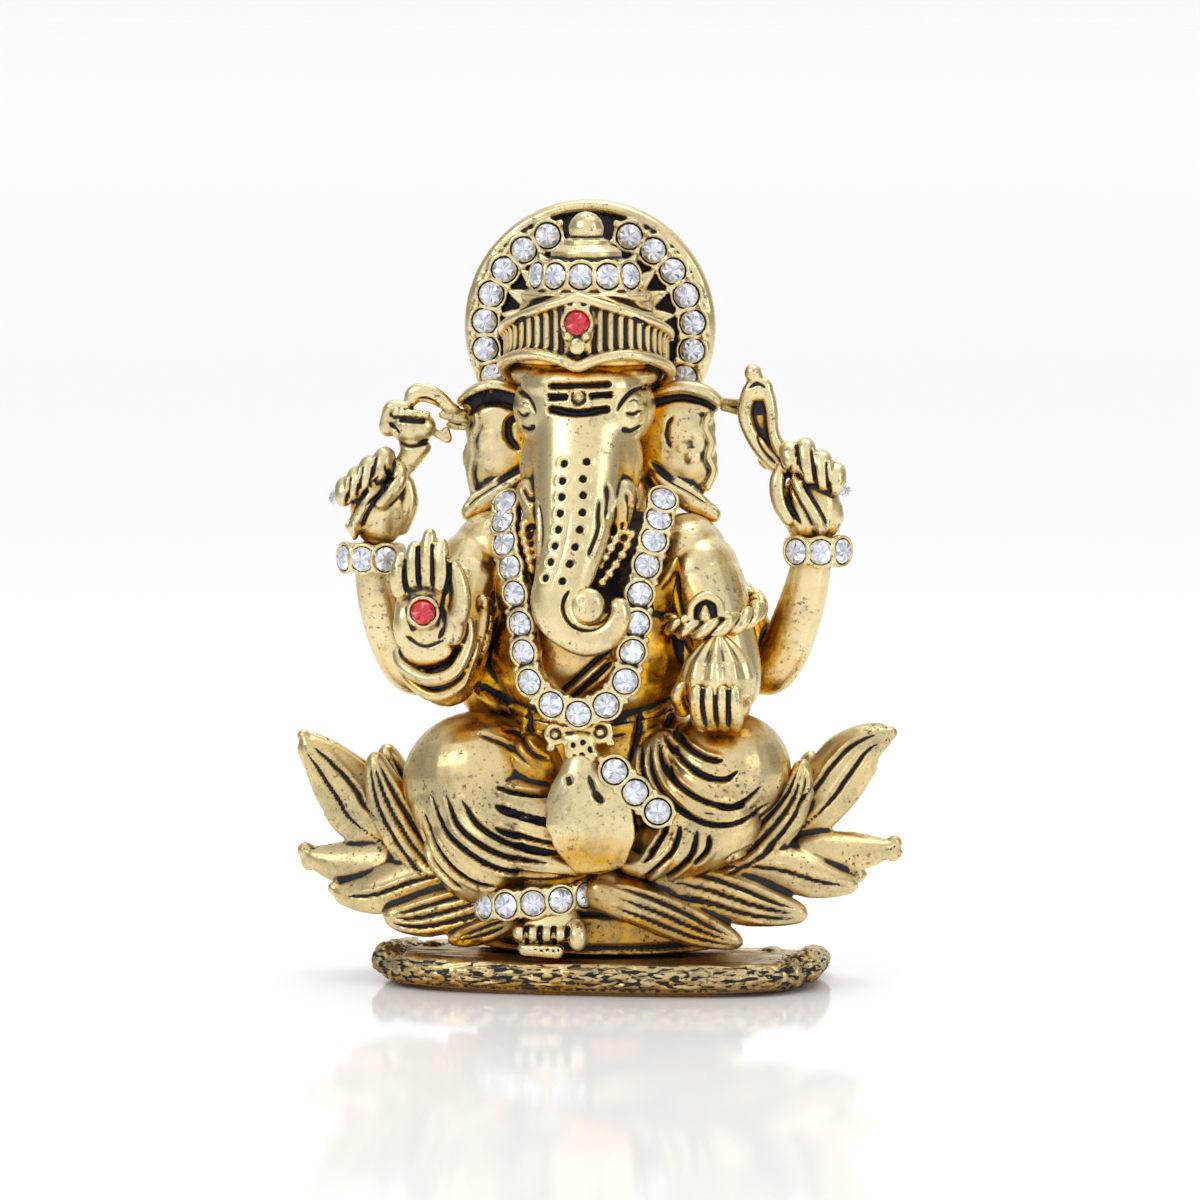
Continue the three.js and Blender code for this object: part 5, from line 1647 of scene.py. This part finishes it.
# %% Right front arm
palm_fingers = [
    ([(-18.6, -10.8, 40.0), (-18.9, -11.2, 42.4), (-18.7, -10.9, 44.8)], 0.92),
    ([(-17.3, -11.0, 41.0), (-17.4, -11.4, 43.8), (-17.2, -11.0, 45.9)], 0.95),
    ([(-15.9, -11.0, 41.0), (-15.9, -11.4, 44.4), (-15.7, -11.0, 47.2)], 0.95),
    ([(-14.7, -10.9, 40.6), (-14.6, -11.2, 43.6), (-14.5, -10.9, 46.2)], 0.9),
]
right_front = fuse("right_front_arm_casting", [
    rod([(-10.9, -0.9, 44.0), (-12.6, -2.6, 41.0), (-13.7, -5.2, 35.6), (-14.4, -7.8, 31.6),
         (-16.0, -9.6, 33.4)],
        [4.6, 4.5, 3.5, 2.8, 2.5], face=(1, 0, 0), rings=50),
    lump((-10.7, -0.6, 43.6), (4.6, 4.7, 4.6)), lump((-12.3, -1.6, 42.0), (4.3, 4.6, 4.6)),
    rod([(-16.0, -9.8, 32.8), (-16.2, -10.2, 36.0), (-16.1, -10.4, 39.0), (-16.4, -10.6, 41.8)],
        [2.3, 2.9, 3.5, 3.3, 2.4], [1.7, 1.5, 1.3, 0.9]),
    lump((-13.6, -10.6, 37.4), (1.5, 1.3, 2.3)), lump((-18.3, -10.6, 37.2), (1.3, 1.2, 2.4)),
    *[rod(path, [half, half * 1.02, half * 0.62]) for path, half in palm_fingers],
    rod([(-13.2, -10.8, 37.4), (-12.5, -11.2, 40.0), (-12.8, -11.2, 42.2), (-13.4, -11.2, 43.9)],
        [1.25, 1.0, 0.85, 0.55]),
    rod([(-19.5, -9.0, 34.8), (-18.6, -10.6, 33.1), (-15.8, -11.6, 31.9), (-13.2, -11.2, 32.8),
         (-12.0, -9.8, 35.6), (-12.2, -9.0, 38.2)], [0.62, 0.7, 0.62]),
    rod([(-19.2, -8.6, 33.2), (-17.8, -10.0, 31.4), (-15.2, -10.8, 30.2), (-12.4, -10.0, 31.8),
         (-11.2, -8.8, 36.0)], [0.55, 0.62, 0.55]),
    rod([(-10.9, -6.5, 39.0), (-11.5, -7.2, 35.5), (-13.4, -8.0, 30.8)], [1.0, 1.3, 1.0], [0.8, 0.9, 0.8]),
    lump((-10.8, -6.9, 39.3), (0.8, 0.8, 0.8)),
    hoop((-16.3, -12.0, 38.8), 1.5, 0.22, (96, 0, 0)),
    disc((-16.3, -12.0, 38.8), (0, -1, 0.1), 1.6, -1.4, -0.5),
    *[prong((x, y, z), radius)
      for y, z, radius in ((-11.9, 37.7, 0.4), (-11.8, 39.9, 0.35)) for x in (-17.2, -15.4)],
], voxel=0.17, soften=2)
clay = Clay(right_front)
HAND = (-15, -9.3)                      # the depth range of the palm and fingers
for line in (
    [(-18.2, 44.2), (-18.2, 42.2), (-18.0, 40.6)], [(-16.85, 45.6), (-16.8, 43.0), (-16.7, 40.9)],
    [(-15.3, 45.8), (-15.3, 43.2), (-15.4, 41.0)],
    [(-13.8, 44.6), (-13.7, 42.4), (-14.3, 40.2), (-14.5, 38.6)],
):
    clay.stroke(line, 0.26, 0.5, taper=(0.05, 0.3), within=HAND)
for line in ([(-18.6, 36.6), (-16.4, 35.3), (-14.2, 35.9)], [(-14.6, 39.6), (-14.2, 37.6), (-14.9, 35.8)]):
    clay.stroke(line, 0.34, 0.25, within=HAND)
clay.stroke([(-10.0, 40.6), (-9.9, 37.8), (-10.6, 34.4), (-12.0, 31.0)], 0.5, 0.7)
# painted amber shade low on the arm and on its back half
finish_casting(clay.done(), "right_front_arm", warm=lambda x, y, z: 0.45 * (z < 34) + 0.3 * (y > -6))

# %% Left front arm
left_front = fuse("left_front_arm_casting", [
    rod([(9.2, -0.8, 43.7), (10.8, -2.2, 40.9), (12.7, -4.4, 36.6), (14.2, -6.2, 31.8), (13.6, -8.0, 29.0)],
        [4.4, 4.4, 3.8, 3.1, 2.6], face=(1, 0, 0), rings=50),
    lump((8.8, -0.6, 43.6), (4.4, 4.7, 4.6)), lump((10.4, -1.6, 42.0), (4.2, 4.6, 4.4)),
    lump((13.4, -8.2, 29.4), (3.2, 2.4, 2.2)),
    *[rod([(x * 0.8 + 2.7, -8.8, 27.2), (x, -11.2, 28.2), (x, -12.2, 30.2), (x, -12.0, 31.9)],
          [0.62, 0.72, 0.75, 0.62]) for x in (11.5, 12.8, 14.1, 15.4)],
    rod([(10.0, -8.8, 28.4), (9.4, -10.0, 30.4), (10.0, -10.4, 32.0)], [0.9, 0.85, 0.6]),
], voxel=0.18, soften=2)
clay = Clay(left_front)
for x in (12.15, 13.45, 14.75):
    gap = [(x, 32.0), (x, 29.6), (x * 0.86 + 1.9, 27.4)]
    clay.stroke(gap, 0.24, 0.4, taper=(0.05, 0.2), within=(-15, -8.4))
clay.stroke([(8.6, 43.0), (8.9, 39.4), (10.4, 35.0)], 0.5, 0.5)
# painted amber shade low on the arm and on its inner side
finish_casting(clay.done(), "left_front_arm",
               warm=lambda x, y, z: 0.4 * (z < 30) + 0.35 * (x < 11.5) * (z < 42))

# %% Sweet and armlet
SWEET = (13.2, -8.6, 32.2)
SWEET_RIDGES = 10
clay = Clay(fuse("ridged_sweet", [
    turned([(0.6, -3.2), (2.6, -2.9), (3.6, -1.6), (3.75, 0.2), (3.2, 1.8), (1.9, 3.3), (0.9, 4.2),
            (0.3, 4.9)], SWEET),
], voxel=0.15, soften=2))
turn = np.arctan2(clay.at[:, 0] - SWEET[0], SWEET[1] - clay.at[:, 1])
level = np.clip((clay.at[:, 2] - 29.4) / 7.6, 0, 1)
ridge = np.cos(turn * SWEET_RIDGES) * np.sin(level * math.pi)
clay.at += clay.normal * (0.2 * ridge)[:, None]
finish_casting(clay.done(), "modak")

ARMLET = Vector((12.0, -3.7, box_mm("armlet")[2][2]))       # the middle of its ring


def on_armlet(turn, out=0.0, up=0.0):
    """A point on the armlet's ring, which dips towards the front."""
    x, y = (4.7 + out) * math.sin(turn), -(5.1 + out) * math.cos(turn)
    return (ARMLET[0] + x, ARMLET[1] + y, ARMLET[2] + up + 0.22 * y + 0.10 * x)


TWISTS = 8
rope = []
for strand in (0, math.pi):             # two strands twisted together
    path = [
        on_armlet(a, 0.42 * math.cos(a * TWISTS + strand), 0.62 * math.sin(a * TWISTS + strand))
        for a in np.linspace(-math.pi, math.pi, 161)
    ]
    rope.append(rod(path, [0.62, 0.62], rings=200, sides=10, blunt=False))
ARCH = ((-0.30, 1.0), (-0.26, 2.6), (0.0, 3.5), (0.26, 2.6), (0.30, 1.0))
crest = [on_armlet(a, 0.5, up) for a, up in ARCH]
armlet = fuse("roped_armlet", [
    *rope, hoop(tuple(ARMLET + Vector((0, 0, -0.2))), 3.9, 0.45, (12, 0, 0), (1.15, 1.25, 1)),
    rod(crest, [0.45, 0.5, 0.45]),
    rod([on_armlet(0, 0.5, 0.8), on_armlet(0, 0.7, 1.6), on_armlet(0, 0.4, 2.6)], [0.5, 0.6, 0.2]),
    disc(on_armlet(0, 0.2, 1.9), (0, -1, 0), 1.3, -0.9, -0.1),
    prong(on_armlet(-0.42, 0.7, 1.2), 0.5), prong(on_armlet(0.42, 0.7, 1.2), 0.5),
], voxel=0.14, soften=1)
finish_casting(Clay(armlet).done(), "armlet")

# %% [markdown]
# ## The held weapons
# The rear right hand holds a battle axe, modelled as a flared club with a hooked blade; the rear left
# hand holds a noose, an open teardrop loop with a bud on top. A short bar joins each to the ear, as
# casters do to keep thin parts from breaking off.

# %% Battle axe
axe = fuse("battle_axe_head", [
    rod([(-21.4, -1.4, 52.0), (-19.6, -1.0, 54.4), (-19.0, -1.0, 56.4)], [0.9, 1.3, 2.2], [0.9, 1.2, 1.4]),
    lump((-19.4, -1.0, 57.4), (2.4, 1.5, 1.8)), lump((-21.6, -1.0, 57.9), (1.2, 0.8, 1.7), (0, 30, 0)),
    rod([(-22.4, -1.0, 57.4), (-21.6, -1.2, 59.4), (-19.6, -1.2, 59.3)], [0.5, 0.7, 0.5], [0.6, 0.8, 0.6]),
    *bead_row([(-21.0, -2.1, 58.9), (-19.4, -2.4, 58.9), (-17.8, -2.1, 58.7)], 6, 0.42),
    rod([(-19.6, -0.9, 59.4), (-19.4, -0.9, 60.6), (-18.2, -0.9, 60.9), (-16.8, -0.7, 60.3),
         (-15.6, -0.3, 59.3), (-14.8, 0.2, 58.9)], [0.6, 1.0, 0.95, 0.7, 0.5], [0.6, 0.7, 0.6, 0.45]),
    rod([(-16.9, -0.4, 58.7), (-15.3, 0.0, 58.2), (-14.2, 0.6, 57.9), (-14.6, 0.9, 57.3), (-16.2, 0.2, 57.6)],
        [0.42, 0.42]),
    rod([(-17.2, -0.8, 56.9), (-15.9, -0.6, 56.1), (-16.2, -0.5, 57.4)], [0.45, 0.4]),
    rod([(-15.6, -0.2, 58.9), (-14.0, 0.9, 58.6)], [0.5, 0.45]),
], voxel=0.14, soften=2)
clay = Clay(axe)
clay.stroke([(-21.4, 56.0), (-19.6, 55.5), (-17.6, 56.0)], 0.32, 0.4, taper=(0.1, 0.1))
clay.stroke([(-21.8, 57.9), (-20.6, 56.6)], 0.35, 0.4)
clay.stroke([(-20.8, 58.2), (-19.4, 58.1), (-17.9, 58.0)], 0.28, 0.35, taper=(0.1, 0.1))
clay.stroke([(-18.8, 60.3), (-17.6, 60.1), (-16.6, 59.3)], 0.3, 0.35)
clay.at += (0.3, 0.0, -0.7)
finish_casting(clay.done(), "battle_axe")

# %% Noose
noose = fuse("noose_loop", [
    rod([(19.0, -1.2, 52.6), (17.0, -1.2, 54.4), (15.5, -1.2, 56.6), (15.0, -1.2, 58.6), (15.5, -1.2, 60.6),
         (16.3, -1.2, 61.8)], [0.95, 0.85, 0.75, 0.8, 0.85, 0.7], [0.9, 0.8, 0.8, 0.7]),
    rod([(16.3, -1.2, 61.8), (17.2, -1.2, 60.6), (17.7, -1.2, 58.8), (17.9, -1.2, 56.6), (18.6, -1.2, 54.8),
         (20.0, -1.2, 53.0)],
        [0.7, 0.75, 0.65, 0.6, 0.75, 0.95], [0.7, 0.8, 0.8]),
    rod([(16.2, -1.2, 61.4), (15.5, -1.2, 63.4)], [0.85, 0.9, 0.8]),
    lump((16.4, -1.2, 60.9), (1.5, 0.8, 1.3)),
    rod([(15.2, -1.1, 59.3), (13.9, 0.2, 59.4), (12.2, 1.2, 59.4)], [0.42, 0.38]),
    rod([(15.2, -1.1, 58.2), (13.9, 0.2, 58.5), (12.2, 1.2, 58.8)], [0.38, 0.34]),
    lump((17.5, -0.9, 53.9), (1.3, 0.7, 1.3), (0, 40, 0)), lump((16.6, -0.7, 58.0), (1.6, 0.4, 3.2)),
], voxel=0.14, soften=2)
clay = Clay(noose)
clay.stroke([(15.3, 61.0), (16.4, 61.5), (17.3, 61.0)], 0.25, 0.3)
clay.stroke([(16.4, 56.4), (17.0, 54.8), (18.4, 53.2)], 0.3, 0.4)
finish_casting(clay.done(), "noose",
               dark=lambda x, y, z: 1.0 * (z > 58.2) * (y > -1.2) * (np.abs(x - 16.5) < 1.0))

# %% [markdown]
# ## Necklace
# A long cup chain of nineteen stones hangs from the shoulders to the belt. A chain that is cast with
# the body hangs as the sculptor laid it, not evenly, so each stone has its own place.

# %% Necklace
CHAIN = [                               # each stone, from the figure's right shoulder round to its left
    (-8.8, -6.6, 49.6), (-8.9, -7.6, 47.8), (-8.6, -8.6, 45.6), (-7.9, -9.4, 43.2), (-7.3, -10.2, 40.6),
    (-6.6, -11.0, 37.6), (-6.2, -11.6, 34.8), (-5.5, -12.2, 31.9), (-3.2, -12.6, 29.7), (-0.4, -12.8, 28.8),
    (2.4, -12.6, 29.7), (4.3, -12.2, 32.1), (4.9, -11.6, 35.0), (5.3, -11.0, 37.8), (5.5, -10.2, 40.7),
    (6.1, -9.4, 43.6), (6.7, -8.6, 46.1), (7.1, -7.6, 48.2), (7.4, -6.6, 50.1),
]
necklace_seats = []
for x, y, z in CHAIN:
    facing = Vector((x * 0.07, -1, min(max((z - 42) * 0.11, -0.1), 1.0))).normalized()
    necklace_seats.append((Vector((x, y, z)), facing))
chain = fuse("necklace_cups", [
    rod([tuple(place - facing * 1.1) for place, facing in necklace_seats], [1.3, 1.3], [0.5, 0.5], rings=150),
    *[piece for place, facing in necklace_seats for piece in cup(place, facing, 1.2, -0.5, 0.7)],
    *prongs_between(necklace_seats, 1.3, 0.36),
], voxel=0.16, soften=2)
finish_casting(Clay(chain).done(), "necklace", fine=0.1)
strip_stones("stone_necklace", necklace_seats)

# %% Put the pattern stone away
bpy.data.objects.remove(pattern_stone)


# %% [markdown]
# ## Sizes
# The visual model keeps inside the box of the CAD model.

# %% Finish
print("all pieces are built")
